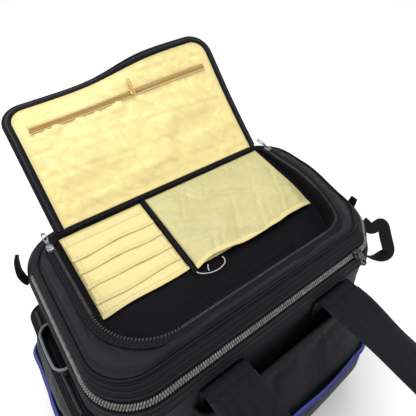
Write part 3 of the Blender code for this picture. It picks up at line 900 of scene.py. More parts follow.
# A still darker, greener copy of the lining's yellow: painted shade for the document pocket down in the
# lid's recess.
SHADED_POCKET_YELLOW = Cloth("sheer_pocket_cloth", (0.560, 0.510, 0.225), (0.78, 0.72, 0.42), Weave.PLAIN, 0.0006,
              0.00008, roughness=0.36, sheen=0.05, crinkle=0.0034, crinkle_scale=28.0, gloss=0.5)
GOLD_TAPE = Cloth("gold_zip_tape", (0.500, 0.335, 0.105), (0.62, 0.46, 0.20), Weave.RIB, 0.0008,
                  0.00014, roughness=0.5, sheen=0.02)
BLUE = Cloth("blue_binding", (0.045, 0.050, 0.300), (0.12, 0.13, 0.40), Weave.RIB, 0.0011,
             0.00022, roughness=0.55, sheen=0.05)
GREY = Cloth("grey_bound_edge", (0.110, 0.115, 0.130), (0.26, 0.27, 0.29), Weave.RIB, 0.0009,
             0.00018, roughness=0.5, sheen=0.05)
STEEL = Metal("bright_zip_metal", (0.20, 0.20, 0.21), (0.46, 0.46, 0.47), roughness=0.24)
BLACK_METAL = Metal("black_zip_enamel", (0.010, 0.010, 0.012), (0.16, 0.16, 0.17), roughness=0.34,
                    metallic=0.65)
BRASS = Metal("brass_zip_metal", (0.52, 0.35, 0.11), (0.76, 0.57, 0.26), roughness=0.30)
BLACK_COIL = Coil("black_coil", (0.012, 0.012, 0.014), (0.060, 0.060, 0.062))
SMOKE_COIL = Coil("smoke_coil", (0.100, 0.097, 0.090), (0.330, 0.320, 0.300))
GOLD_COIL = Coil("gold_coil", (0.400, 0.245, 0.075), (0.640, 0.455, 0.190))
BLACK_THREAD = Thread("black_thread", (0.011, 0.011, 0.014))
YELLOW_THREAD = Thread("yellow_thread", (0.84, 0.74, 0.42))
BLUE_THREAD = Thread("blue_thread", (0.045, 0.050, 0.28))
CORD = Thread("laid_white_thread", (0.66, 0.64, 0.58), pitch=0.0011, roughness=0.6)
BOARD = Board("grey_fibre_board", (0.17, 0.165, 0.155))


# ---- shared small parts ---------------------------------------------------------------------
@dataclass(frozen=True)
class Tilt:
    """A flat frame turned about X: x stays, along points up its slope, height stands on it."""

    y: float
    z: float
    angle: float

    def out(self, x: np.ndarray, along: np.ndarray, height: np.ndarray) -> np.ndarray:
        """Points of the frame in the bag's own axes, with 3 as the last axis."""
        c, s = math.cos(self.angle), math.sin(self.angle)
        x, along, height = np.broadcast_arrays(x, along, height)
        return np.stack([x, self.y + along * c - height * s, self.z + along * s + height * c], -1)

    @property
    def ahead(self) -> np.ndarray:
        """The direction up the slope."""
        return np.array([0.0, math.cos(self.angle), math.sin(self.angle)])

    @property
    def normal(self) -> np.ndarray:
        """The direction that height is measured in."""
        return np.array([0.0, -math.sin(self.angle), math.cos(self.angle)])


def add_teeth(shape: Shape, path: np.ndarray, up: np.ndarray | Row, length: float, pitch: float,
              slot: int, slant: float = 24.0, phase: float = 0.0, width: float = 0.0013) -> None:
    """Adds half a zip's coil: short slanted bars of rounded wire, each bent down at its ends.

    Args:
        shape: where the bars go.
        path: the middle of the half, which the bars cross.
        up: away from the tape.
        length: a bar's length.
        pitch: from one bar to the next.
        slot: the coil's material.
        slant: how far a bar leans along the path, in degrees.
        phase: how far the first bar is moved along, as a share of the pitch.
        width: the wire's width.
    """
    spots, axes = along(path, up, pitch)
    spots = spots + axes[:, 0] * pitch * phase
    lean = math.radians(slant)
    bar = axes[:, 1] * math.cos(lean) + axes[:, 0] * math.sin(lean)
    axes = np.stack([bar, np.cross(axes[:, 2], bar), axes[:, 2]], 1)
    half = length / 2
    solid = prism(oval(width, 0.0011, 6), ((-half, 0.6, -0.0006), (-half * 0.6, 1.0, 0.0001),
                                           (half * 0.6, 1.0, 0.0001), (half, 0.6, -0.0006)))
    shape.copies(solid, spots, axes, slot)


@dataclass(frozen=True)
class ZipSlider:
    """A cast zip slider: two wings, the post between them and a bridge for the pull."""

    name: str
    body: str
    slot: str
    finish: Finish
    origin: Row
    across: Row
    ahead: Row
    width: float
    length: float
    height: float
    bridge: float

    def build(self) -> bpy.types.Object:
        """The slider, tapered to the end where the teeth leave it.

        Each wing is a stack of superellipses, a little smaller at its top and bottom, whose
        width falls evenly from one end to the other. The bridge is an arched wire.

        Returns:
            The piece, on its body.
        """
        shape = Shape()
        base = oval(self.width, self.length, 28, 3.2)
        base[:, 0] *= 1 - 0.22 * base[:, 1] / self.length * 2 * 0.5
        wing = self.height * 0.30
        for low in (0.0, self.height - wing):
            self._stack(shape, base, low, wing)
        self._stack(shape, base * (0.35, 0.5), wing * 0.9, self.height - wing * 1.8)
        for side in (-1, 1):
            rail = base * (0.10, 0.92) + (side * self.width * 0.42, 0.0)
            self._stack(shape, rail, wing * 0.6, wing * 0.9)
        angle = np.linspace(0, math.pi, 13)
        arch = np.stack([np.zeros(13), np.cos(angle) * self.length * 0.34,
                         self.height - 0.0006 + np.sin(angle) ** 0.7 * self.bridge], 1)
        add_strip(shape, self._out(arch), np.asarray(self.across, float), self.width * 0.30,
                  self.bridge * 0.34, sides=12)
        return place(shape.make(self.name + "_cast", [self.finish]), self.body, self.slot,
                     self.name)

    def _out(self, local: np.ndarray) -> np.ndarray:
        """Slider axes to the bag's."""
        axes = np.stack([self.across, self.ahead, np.cross(self.across, self.ahead)])
        return np.asarray(self.origin) + local @ axes

    def _stack(self, shape: Shape, outline: np.ndarray, low: float, thick: float) -> None:
        """A plate with rounded edges: outlines at rising heights."""
        steps = ((0.0, 0.86), (0.16, 0.96), (0.4, 1.0), (0.6, 1.0), (0.84, 0.96), (1.0, 0.86))
        rows = [np.column_stack([outline * scale, np.full(len(outline), low + share * thick)])
                for share, scale in steps]
        shape.patch(self._out(np.array(rows)), ring=True, caps=True, wear=0.4)


@dataclass(frozen=True)
class ZipPull:
    """A flat zip pull with a hole, lying from its pivot."""

    name: str
    body: str
    slot: str
    finish: Finish
    pivot: Row
    across: Row
    ahead: Row
    width: float
    length: float
    hole: Row
    thickness: float = 0.0015

    def build(self) -> bpy.types.Object:
        """The pull: rows of outlines round its outer edge and back through its hole.

        Both outlines are superellipses. The outer one narrows towards the pivot, and the hole
        stands where the two numbers in hole put its middle and its size, as shares of the
        length and width.

        Returns:
            The piece, on its body.
        """
        outer = oval(self.width, self.length, 36, 3.0) + (0, self.length / 2)
        outer[:, 0] *= 0.72 + 0.28 * ease(outer[:, 1], 0.1 * self.length, 0.6 * self.length)
        middle, size = self.hole
        inner = oval(self.width * size, self.length * size * 0.9, 36) + (0, self.length * middle)
        steps = ((0.0, -0.5), (0.02, -0.2), (0.02, 0.2), (0.0, 0.5))
        half = self.thickness
        rows = [np.column_stack([outer * (1 + grow, 1.0), np.full(36, h * half)]) for grow,
                h in steps]
        rows += [np.column_stack([inner, np.full(36, -h * half)]) for _, h in steps]
        axes = np.stack([self.across, self.ahead, np.cross(self.across, self.ahead)])
        shape = Shape().patch(np.asarray(self.pivot) + np.array(rows) @ axes, ring=True, loop=True,
                              wear=0.5)
        return place(shape.make(self.name + "_plate", [self.finish]), self.body, self.slot,
                     self.name)


# ---- lid ------------------------------------------------------------------------------------
@dataclass
class Lid:
    """The padded panel round the organizer, its piped edge and the sloping band of the zip."""

    top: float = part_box("lid_panel")[1].z
    half: tuple[float, float, float] = (0.2255, 0.1222, 0.0520)
    tray: tuple[float, float, float] = (0.1965, -0.1015, 0.1145)
    tray_radii: tuple[float, ...] = (0.010, 0.010, 0.074, 0.074)
    foam: float = 0.0065
    crown: float = 0.0034
    band: Rows = ((0.2252, 0.1219, 0.2862, 0.052), (0.2296, 0.1270, 0.2870, 0.056),
                  (0.2322, 0.1345, 0.2838, 0.0585), (0.2355, 0.1432, 0.2786, 0.061))
    chain: Rows = ((0.2357, 0.1436, 0.2783, 0.061), (0.2374, 0.1466, 0.2753, 0.062))
    piping: float = 0.0018
    track: float = 0.0120

    def hole(self, grow: float = 0.0) -> np.ndarray:
        """The organizer's outline, grown outwards, columns by 2."""
        x, front, rear = self.tray
        radii = np.array(self.tray_radii) + grow
        return PLAN.points(-x - grow, x + grow, front - grow, rear + grow, radii[None])[0]

    def build_panel(self) -> None:
        """The padded panel: outlines that pass from the organizer's edge to the lid's and back.

        Its height rises from the organizer's zip to a low crown, dips at the seam beside the
        piping, and soft creases of about 6 and 2 cm move it by a millimetre.
        """
        inner, outer = self.hole(0.0004), PLAN.even(*self.half)[0]
        share = np.concatenate([np.linspace(0, 1, 22), [1.004, 1.0, 0.5, 0.0, -0.004]])
        ring = inner + (outer - inner) * share[:, None, None]
        t = share[:22]
        swell = ease(t, 0.30, 0.62) * (1 - ease(t, 0.72, 0.98) * 1.15)
        height = np.concatenate([self.top + self.crown * swell,
                                 [self.top - self.foam * 0.4, self.top - self.foam + 0.0004,
                                  self.top - self.foam, self.top - self.foam + 0.0004,
                                  self.top - self.foam * 0.4]])
        z = np.broadcast_to(height[:, None], ring.shape[:2]).copy()
        creased = folds(ring[:22, :, 0], ring[:22, :, 1], 0.06,
                        3) + 0.8 * folds(ring[:22, :, 0], ring[:22, :, 1], 0.024, 5)
        z[:22] += 0.0010 * creased * ease(swell, 0.0, 0.6)[:, None]
        shape = Shape().patch(np.concatenate([ring, z[..., None]], 2), ring=True, loop=True)
        for row in (18, 19):
            path = np.column_stack([ring[row], z[row] + 0.0001])
            add_stitches(shape, np.vstack([path, path[:1]]), Z_AXIS, 1)
        panel = shape.make("lid_padded_panel", [TWILL, BLACK_THREAD])
        place(panel, "lid", "black_nylon", "lid_panel")

    def build_piping(self) -> None:
        """The corded edge that runs all round the panel."""
        half_x, half_y, corner = self.half
        edge = PLAN.even(half_x + 0.0030, half_y + 0.0030, corner + 0.003)[0]
        path = np.column_stack([edge, np.full(len(edge), self.top - 0.0004)])
        shape = Shape()
        add_tube(shape, path, self.piping, closed=True, wear=0.45)
        place(shape.make("lid_corded_edge", [TAPE]), "lid", "black_tape", "lid_piping")

    def build_band(self) -> None:
        """The sloping band: rows down the slope, with three sewn ribs that stand up from it."""
        rows = 25
        grid = loft(self.band, rows)
        share = np.linspace(0, 1, rows)
        rib = sum(bell(share, at, 0.055) for at in (0.32, 0.55, 0.78)) * 0.0010
        grid[..., 2] += rib[:, None] + 0.0004 * folds(grid[..., 0], grid[..., 1], 0.05, 11)
        shape = Shape().patch(grid, ring=True, wear=0.25 * (rib / 0.001)[:, None])
        for row in (5, 11, 16, 22):
            path = np.vstack([grid[row], grid[row, :1]]) + (0, 0, 0.0012)
            add_stitches(shape, path, Z_AXIS, 1)
        band = shape.make("lid_sloping_band", [NYLON, BLACK_THREAD])
        place(thicken(band, 0.0018), "lid", "black_nylon", "lid_zip_band")

    def build_chain(self) -> None:
        """The lid's half of the main zip: its tape and its half of the coil."""
        run = PLAN.from_rear()
        add_zip_half("lid_coil_half", "lid", "lid_zip_chain", loft(self.chain, 3)[:, run], 0.0,
                     0.70)


def add_zip_half(name: str, body: str, node: str, tape: np.ndarray, phase: float,
                 share: float) -> None:
    """Half of the main zip: a tape with slanted teeth across it.

    Args:
        name: the piece's name.
        body: what it rides on.
        node: the CAD node that it stands for.
        tape: rows across the tape by columns along it.
        phase: how far its teeth are moved, as a share of their pitch.
        share: where the teeth run across the tape, from its upper edge.
    """
    shape = Shape().patch(tape)
    across = unit(tape[-1] - tape[0])
    up = unit(np.cross(tangents(tape[1]), across))
    up *= np.sign(up[:, 2:])
    row = tape[0] + (tape[-1] - tape[0]) * share
    add_teeth(shape, row + up * 0.0010, up, 0.0032, 0.0028, 1, phase=phase, width=0.0011)
    place(thicken(shape.make(name, [TAPE, SMOKE_COIL], weld=0.0), 0.0010), body, "black_tape",
          node)


# ---- organizer ------------------------------------------------------------------------------
@dataclass
class Organizer:
    """The recess in the lid, its zip track, its card slots and its slack pocket."""

    lid: Lid
    rim: float = 0.2893
    depth: tuple[float, float] = (0.0040, 0.0380)
    wall: float = 0.0015
    card_x: tuple[float, float] = (-0.1875, -0.0585)
    card_front: float = -0.1320
    card_rear: float = -0.0180
    mouths: tuple[float, ...] = (-0.1180, -0.0930, -0.0680, -0.0430)
    divider: tuple[float, float] = (-0.0535, 0.0058)
    pocket_x: tuple[float, float] = (-0.0485, 0.1850)
    pocket_mouth: float = -0.1450
    slack: float = 0.0095
    cord_radius: float = 0.0007

    def __post_init__(self) -> None:
        """The frame of the sloping bed that the yellow panels lie on."""
        _, front, rear = self.lid.tray
        fall = (self.depth[1] - self.depth[0]) / (rear - front)
        floor = self.lid.top - self.depth[0] - fall * 0.0030
        self.bed = Tilt(rear - 0.0030, floor + self.wall + 0.0006, math.atan(fall))

    def build_cords(self) -> None:
        """The thin white leash that shows at the pocket's mouth, and its loose tail.

        The leash runs out from under the hem, round in one flat loop on the tray's floor, and
        back under the hem, so both ends go into the object.
        """
        loop = ((-0.0545, -0.1478, 0.0030), (-0.0500, -0.1530, 0.0024), (-0.0385, -0.1585, 0.0014),
                (-0.0245, -0.1605, 0.0014), (-0.0125, -0.1575, 0.0014), (-0.0085, -0.1520, 0.0020),
                (-0.0095, -0.1472, 0.0034))
        tail = ((-0.0345, -0.1472, 0.0036), (-0.0370, -0.1510, 0.0032), (-0.0385, -0.1555, 0.0026))
        paths, made = [], []
        for name, route, count in (("key_leash", loop, 34), ("key_leash_tail", tail, 10)):
            path = self.bed.out(*spline(route, count).T)
            shape = Shape()
            add_tube(shape, path, self.cord_radius)
            made.append(place(shape.make(name + "_cord", [CORD]), "lid", "white_cord", name))
            paths.append(path)
        tuple(paths[0][0])
        round(span(paths[0]), 4)
        [tuple(p) for p in paths[0]]

    def build_tray(self) -> None:
        """The black tub: its walls drop from the rim and turn inwards along a sloping floor.

        The walls are soft, so they wave by a millimetre, and the floor's outlines shrink to its
        middle. In front of the pocket the floor is ribbed from side to side.
        """
        plan = self.lid.hole(-0.0006)
        _, front, rear = self.lid.tray
        middle = np.array([0.0, (front + rear) / 2])
        fall = (self.depth[1] - self.depth[0]) / (rear - front)
        share = np.concatenate([np.zeros(10), [0.004, 0.016, 0.04], np.linspace(0.08, 1, 30)])
        drop = np.concatenate([np.linspace(0, 0.9, 10), [0.96, 0.99, 1.0], np.ones(30)])
        ring = plan + (middle - plan) * share[:, None, None]
        floor = self.lid.top - self.depth[0] - fall * (rear - ring[..., 1])
        z = self.rim + (floor - self.rim) * drop[:, None]
        wave = 0.0009 * folds(ring[..., 0], ring[..., 1] + z, 0.045, 21)
        hidden = ease(ring[..., 1], -0.062, -0.045)
        rib = 0.0007 * np.sin(ring[..., 1] * 2 * math.pi / 0.0052) * (drop == 1)[:, None]
        z = z + np.where(drop[:, None] >= 0.9, -np.abs(wave) * 0.6 - 0.0006 + rib * (1 - hidden),
                         0)
        tub = Shape().patch(np.concatenate([ring, z[..., None]], 2), ring=True)
        tray = thicken(tub.make("organizer_tub", [INSIDE]), 0.0010)
        place(tray, "lid", "black_nylon", "organizer_tray")

    def build_track(self) -> None:
        """The organizer's zip on the lid: a sewn tape round three sides, with half a coil."""
        run = PLAN.from_rear()
        lift = self.lid.top + 0.0014
        share = np.linspace(0, 1, 9)
        inner, outer = self.lid.hole(0.0012)[run], self.lid.hole(0.0010 + self.lid.track)[run]
        ring = inner + (outer - inner) * share[:, None, None]
        rise = 0.0011 * bell(share, 0.30, 0.16) + 0.0007 * bell(share, 0.80, 0.12)
        z = np.broadcast_to((lift + rise)[:, None], ring.shape[:2])
        grid = np.concatenate([ring, z[..., None]], 2)
        shape = Shape().patch(grid, wear=0.2)
        for row in (5, 7):
            add_stitches(shape, grid[row] + (0, 0, 0.0009), Z_AXIS, 1)
        add_teeth(shape, grid[1] + (0, 0, 0.0012), Z_AXIS, 0.0034, 0.0024, 2, slant=18.0,
                  width=0.0011)
        track = shape.make("organizer_coil_track", [TAPE, BLACK_THREAD, BLACK_COIL], weld=0.0)
        place(thicken(track, 0.0010), "lid", "black_tape", "organizer_zip_track")

    def _panel(self, x: Row, y: Row, height: float, counts: tuple[int, int], seed: int,
               swell: float) -> np.ndarray:
        """A yellow layer on the bed: a grid of x by y whose height ripples.

        Args:
            x: its left and right sides.
            y: its rear and front edges.
            height: how high its cloth lies.
            counts: rows and columns.
            seed: which creases.
            swell: how far it lifts at its front edge.

        Returns:
            Its points, rows by columns by 3.
        """
        across, down = np.linspace(*x, counts[1])[None], np.linspace(0, 1, counts[0])[:, None]
        along_y = y[0] + (y[1] - y[0]) * down
        edge = np.sin(math.pi * np.linspace(0, 1, counts[1]))[None] ** 0.6
        ripple = folds(across, along_y, 0.045, seed)
        lift = height + edge * down**2 * swell * (0.65 + 0.35
                                                  * ripple) + 0.00022 * edge * np.abs(ripple)
        bend = 0.0012 * folds(across, down * 0.0, 0.09, seed + 1) * down
        return self.bed.out(across, along_y + bend, lift)

    def _hem(self, shape: Shape, edge: np.ndarray, width: float, back: Row) -> None:
        """A folded hem along a cloth's edge, lipped at its mouth, with two rows of stitches."""
        ahead, normal = self.bed.ahead, self.bed.normal
        band = edge + normal * 0.0003
        add_strip(shape, band + ahead * width * 0.42, ahead, width, 0.0011, sides=18)
        add_strip(shape, band + ahead * width * 0.08, ahead, width * 0.25, 0.0016, sides=12)
        for offset in back:
            add_stitches(shape, band + ahead * offset + normal * 0.0007, normal, 1, 0.0030)

    def build_cards(self) -> None:
        """The card panel and its four slots, each lapped over the next, with stitched mouths."""
        left, right = self.card_x
        normal = self.bed.normal
        rear, front = 0.0020, self.card_front - 0.0060
        grid = self._panel(self.card_x, (rear, front), 0.0004, (40, 40), 31, 0.0008)
        panel = thicken(Shape().patch(grid).make("card_back_panel", [SHADED_YELLOW]), 0.0005)
        place(panel, "lid", "yellow_nylon", "card_panel")
        seams = Shape()
        for line in (grid[:, 2], grid[:, -3], grid[1], grid[-3]):
            add_stitches(seams, line + normal * 0.0006, normal, 1, 0.0030)
        self._hem(seams, grid[-1], 0.0050, (0.0026,))
        self._sew(seams, "card_back_seams")
        for number, mouth in enumerate(self.mouths, start=1):
            sides = (left + 0.0018, right - 0.0018)
            grid = self._panel(sides, (self.card_rear, mouth), 0.0005 + number * 0.0008, (30, 48),
                               40 + number, 0.0007)
            cloth = thicken(Shape().patch(grid).make(f"card_slot_{number}_cloth", [SHADED_YELLOW]),
                            0.0004)
            place(cloth, "lid", "yellow_nylon", f"card_slot_{number}")
            seams = Shape()
            for line in (grid[:, 1], grid[:, 3], grid[:, -4], grid[:, -2], grid[1]):
                add_stitches(seams, line + normal * 0.0005, normal, 1, 0.0030)
            self._hem(seams, grid[-1], 0.0058, (0.0022, 0.0048))
            self._sew(seams, f"card_slot_{number}_seams")

    def _sew(self, shape: Shape, name: str) -> None:
        """Makes a piece of hems and stitches in the pocket cloth and its thread."""
        place(shape.make(name, [SHADED_YELLOW, YELLOW_THREAD], weld=0.0), "lid", "yellow_nylon")

    def build_divider(self) -> None:
        """The black tape sewn down between the card slots and the pocket."""
        middle, width = self.divider
        down = np.linspace(0.0020, self.pocket_mouth - 0.0030, 40)
        path = self.bed.out(np.full(40, middle) - 0.0012 * np.linspace(0, 1, 40), down, 0.0030)
        shape = Shape()
        add_strip(shape, path, X_AXIS, width, 0.0012, bow=0.0009, wear=0.2)
        for side in (-1, 1):
            add_stitches(shape, path + self.bed.normal * 0.0010 + X_AXIS * side * width * 0.34,
                         self.bed.normal, 1)
        place(shape.make("divider_tape", [TAPE, BLACK_THREAD]), "lid", "black_tape",
              "organizer_divider")

    def build_pocket(self) -> None:
        """The slack pocket: sewn at its rear and sides, and lifted along its open mouth.

        Height is a flattened half sine across, times a quarter sine towards the mouth, times the
        slack. Long creases fan from the front corners, and the mouth's line waves. A simulation
        then lets the cloth settle, sewn at three sides and along the hem.
        """
        rows, columns = 74, 100
        left, right = self.pocket_x
        across = np.linspace(0, 1, columns)[None]
        down = np.linspace(0, 1, rows)[:, None]
        x = left + (right - left) * across + 0.0015 * down * (across - 0.5)
        y = 0.0030 + (self.pocket_mouth - 0.0030) * down
        y = y + down * (0.0045 * bell(across, 0.12, 0.12) + 0.0016 * np.sin(across * 9.0) - 0.0010)
        arch = np.sin(math.pi * across) ** 0.55 * np.sin(math.pi / 2 * down) ** 1.2
        fan = folds(across * 2.2 + down * 0.8, down * 1.3 - across * 0.9, 0.42, 52, stretch=2.0)
        small = folds(x, y, 0.030, 57) * np.minimum(arch, 0.6)
        height = 0.0012 + self.slack * arch * (0.72 + 0.18 * fan) + 0.0007 * small
        height += 0.0035 * bell(across, 0.10, 0.09) * down**3
        grid = self.bed.out(x, y, height)
        shape = Shape().patch(grid)
        piece = shape.make("document_pocket_cloth", [SHADED_POCKET_YELLOW])
        pinned = np.maximum.reduce([ease(-down, -0.05, -0.01) + across * 0,
                                    ease(-across, -0.04, -0.01) + down * 0,
                                    ease(across, 0.96, 0.99) + down * 0,
                                    ease(down, 0.93, 0.99) + across * 0])
        settle(piece, np.clip(pinned.ravel(), 0, 1), pressure=0.6, slack=0.012, cap=0.003,
               frames=14)
        place(thicken(piece, 0.0005), "lid", "yellow_nylon", "document_pocket")
        back = self._panel((left, right), (0.0030, self.pocket_mouth + 0.0040), 0.0002, (30, 40),
                           61, 0.0)
        floor = thicken(Shape().patch(back).make("document_pocket_back", [SHADED_YELLOW]), 0.0004)
        place(floor, "lid", "yellow_nylon")
        seams = Shape()
        self._hem(seams, grid[-1], 0.0078, (0.0022, 0.0058))
        for line in (grid[:, 1], grid[:, -2]):
            add_stitches(seams, line + self.bed.normal * 0.0008, self.bed.normal, 1, 0.0030)
        self._sew(seams, "document_pocket_seams")

    def build_pulls(self) -> None:
        """The two sliders of the organizer's zip and their bright pulls."""
        for side in ("left", "right"):
            low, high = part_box(f"organizer_slider_{side}")
            middle = (low + high) / 2
            ZipSlider(f"organizer_slider_{side}", f"{side}_slider", "bright_metal", STEEL,
                      (middle.x, middle.y, low.z), X_AXIS, Y_AXIS, 0.0092, 0.0136, 0.0040,
                      0.0026).build()
            low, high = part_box(f"organizer_pull_{side}")
            ZipPull(f"organizer_pull_{side}", f"{side}_pull", "bright_metal", STEEL,
                    ((low.x + high.x) / 2, low.y, (low.z + high.z) / 2), X_AXIS, Y_AXIS,
                    high.x - low.x, high.y - low.y, (0.60, 0.62), high.z - low.z).build()

    def build(self) -> None:
        """Every piece of the organizer."""
        self.build_tray()
        self.build_track()
        self.build_cards()
        self.build_divider()
        self.build_pocket()
        self.build_pulls()


# ---- flap -----------------------------------------------------------------------------------
@dataclass
class Flap:
    """The organizer's open flap: cover, lining, bound edge and its inner zipped pocket.

    Its cloth is drawn in its own frame, which leans back from the hinge: x across, s up the
    flap, and w off the lining's side. The open flap has relaxed: its left two thirds bend back
    and its right corner comes forward and stands a little taller.
    """

    half: float = 0.1870
    root: float = 0.0040
    corner: float = 0.0360
    zip_line: float = 0.1630
    zip_half: float = 0.1570
    keep: float = 0.08

    def __post_init__(self) -> None:
        """The hinge's place from the frame's joint, and the lean of the open flap."""
        _, y, z = pivot("flap_hinge")
        self.tilt = Tilt(y, z, math.radians(41.0))

    def reach(self, x: np.ndarray) -> np.ndarray:
        """How far the free edge is from the hinge at each x: a straight line, longer at right."""
        return 0.2185 + 0.0420 * x

    def bend(self, x: np.ndarray, s: np.ndarray) -> np.ndarray:
        """How far the cloth stands off its flat frame.

        Half of a smooth step across the flap, narrow at the free edge and wide near the hinge,
        times the square of the height, less a little that curls the whole free edge back.
        """
        t = np.clip(s / self.reach(x), 0, 1.1)
        step = np.tanh((x - 0.008) / (0.045 + 0.26 * (1 - np.minimum(t, 1))))
        return 0.0285 * step * t**2.1 - 0.0125 * t**8

    def out(self, x: np.ndarray, s: np.ndarray, w: np.ndarray | float) -> np.ndarray:
        """Flap points in the bag's axes, bent as the open flap is. Its sides draw in a little."""
        drawn = x * (1 - (0.040 * ease(x, 0.0, 0.10) + 0.018 * ease(-x, 0.0, 0.10))
                     * (s / 0.22) ** 2)
        return self.tilt.out(drawn, s, w + self.bend(x, s))

    def grid(self, inset: float, columns: int, rows: int,
             low: float | None = None) -> tuple[np.ndarray, np.ndarray]:
        """Flap coordinates: straight columns from the root to the rounded free edge.

        Columns crowd towards the sides by a cosine, so that the corners' quarter circles are
        smooth. The column's top follows the edge line, less the corner's drop.

        Args:
            inset: how far inside the flap's edge.
            columns: across the flap.
            rows: up the flap.
            low: where the rows start, or None for the root.

        Returns:
            x and s, each rows by columns.
        """
        half, radius = self.half - inset, max(self.corner - inset, 0.004)
        x = -half * np.cos(np.linspace(0, math.pi, columns))
        over = np.clip(np.abs(x) - (half - radius), 0, radius)
        top = self.reach(x) - inset - radius + np.sqrt(np.maximum(radius**2 - over**2, 0))
        share = np.linspace(0, 1, rows)[:, None]
        start = self.root if low is None else low
        return np.broadcast_to(x, (rows, columns)), start + (top - start) * share

    def edge(self, inset: float, count: int = 220) -> tuple[np.ndarray, np.ndarray]:
        """The line that runs up the right side, along the free edge and down the left."""
        x, s = self.grid(inset, 161, 2)
        left, right = (np.linspace(self.root, s[1, end], 24)[:-1] for end in (0, -1))
        line = np.vstack([np.column_stack([np.full(len(right), x[1, -1]), right]),
                          np.column_stack([x[1, ::-1], s[1, ::-1]]),
                          np.column_stack([np.full(len(left), x[1, 0]), left[::-1]])])
        x, s = even(line, count).T
        return x, s

    def attach(self, obj: bpy.types.Object, slot: str, level: float,
               *nodes: str) -> bpy.types.Object:
        """Rides a piece on the flap and gives it a mesh of its own."""
        place(obj, "flap", slot, *nodes)
        anchor = self.tilt.out(0.0, 0.0, level)
        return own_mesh(obj, "flap_hinge", axis=tuple(self.tilt.normal), anchor=tuple(anchor),
                         keep=self.keep)

    def build_lining(self) -> None:
        """The yellow lining: a bent layer with shallow creases, settled by simulation.

        Creases of about 5 and 2 cm run mostly up and down, with a soft ridge above and below
        the pocket's zip where the cloth is gathered by its stitches.
        """
        x, s = self.grid(0.0105, 150, 96)
        crease = 0.0017 * folds(x * 1.3, s * 0.8, 0.055, 71) + 0.0009 * folds(x * 1.2, s * 0.8,
                                                                              0.022, 73)
        crease += 0.0020 * bell(s, self.zip_line - 0.0150, 0.0100) * folds(x, s * 0.2, 0.035, 74)
        crease = np.maximum(crease, -0.0010)
        edge = np.minimum.reduce([self.half - 0.0105 - np.abs(x), s[-1:] - s, s - self.root])
        calm = ease(edge, 0.0, 0.014) * (1 - 0.9 * bell(s, self.zip_line, 0.0085))
        swell = 0.0030 * np.sin(np.clip(s / self.zip_line, 0, 1) * math.pi) * np.cos(x / self.half
                                                                                     * math.pi / 2)
        grid = self.out(x, s, 0.0002 + crease * calm + swell * calm)
        piece = Shape().patch(grid).make("flap_lining_cloth", [YELLOW])
        pinned = 1 - calm
        settle(piece, np.clip(pinned.ravel(), 0, 1), pressure=0.35, slack=0.010, cap=0.0028)
        self.attach(thicken(piece, 0.0005), "yellow_nylon", 0.0, "flap_lining", "flap_pouch")

    def build_seams(self) -> None:
        """The lining's double rows of stitches: round its edge and on both sides of the zip."""
        shape = Shape()
        normal = self.tilt.normal
        for inset in (0.0125, 0.0150):
            x, s = self.edge(inset)
            add_stitches(shape, self.out(x, s, 0.0012), normal, 0, 0.0030)
        x = np.linspace(-self.zip_half, self.zip_half, 90)
        for offset in (-0.0092, -0.0068, 0.0068, 0.0092):
            s = self.line(x) + offset
            add_stitches(shape, self.out(x, s, 0.0013), normal, 0, 0.0030)
        for end in (-1, 1):
            x = np.full(12, end * self.zip_half)
            s = self.line(x) + np.linspace(-0.0092, 0.0092, 12)
            add_stitches(shape, self.out(x, s, 0.0013), normal, 0, 0.0030)
        seams = shape.make("flap_lining_stitches", [YELLOW_THREAD], weld=0.0)
        self.attach(seams, "yellow_nylon", 0.0)

    def line(self, x: np.ndarray) -> np.ndarray:
        """Where the pocket's zip runs: in proportion to the flap's height at each x."""
        return self.zip_line * self.reach(x) / self.reach(np.array(0.014))

    def build_cover(self) -> None:
        """The black padded cover behind the lining, with a sewn border and soft creases."""
        x, s = self.grid(0.0022, 120, 70)
        edge = np.minimum(self.half - 0.0022 - np.abs(x), s[-1:] - s)
        puff = 0.0022 * ease(edge, 0.010, 0.030) - 0.0006 * bell(edge, 0.009, 0.0022)
        crease = 0.0009 * folds(x, s, 0.06, 81) * ease(edge, 0.010, 0.03)
        piece = Shape().patch(self.out(x, s, -0.0034 - puff + crease)).make("flap_cover_cloth",
                                                                            [NYLON])
        self.attach(thicken(piece, 0.0016), "black_nylon", -0.0040, "flap_cover")
        shape = Shape()
        for inset in (0.0100, 0.0124):
            line_x, line_s = self.edge(inset)
            add_stitches(shape, self.out(line_x, line_s, -0.0048), -self.tilt.normal, 0)
        self.attach(shape.make("flap_cover_stitches", [BLACK_THREAD], weld=0.0), "black_tape",
                    -0.0040)

    def build_border(self) -> None:
        """The flap's half of the organizer zip: a tape inside the bound edge, and its coil."""
        rows = []
        for inset, lift in ((0.0118, 0.0007), (0.0104, 0.0012), (0.0080, 0.0009), (0.0060, 0.0013),
                            (0.0040, 0.0008), (0.0024, 0.0002)):
            x, s = self.edge(inset)
            rows.append(self.out(x, s, lift))
        shape = Shape().patch(np.array(rows), wear=0.2)
        add_stitches(shape, rows[2] + self.tilt.normal * 0.0007, self.tilt.normal, 1)
        x, s = self.edge(0.0050)
        add_teeth(shape, self.out(x, s, 0.0019), self.tilt.normal, 0.0034, 0.0024, 2, slant=18.0,
                  width=0.0011)
        tape = shape.make("flap_border_tape", [TAPE, BLACK_THREAD, BLACK_COIL], weld=0.0)
        self.attach(thicken(tape, 0.0008), "black_tape", 0.0, "flap_zip_tape")

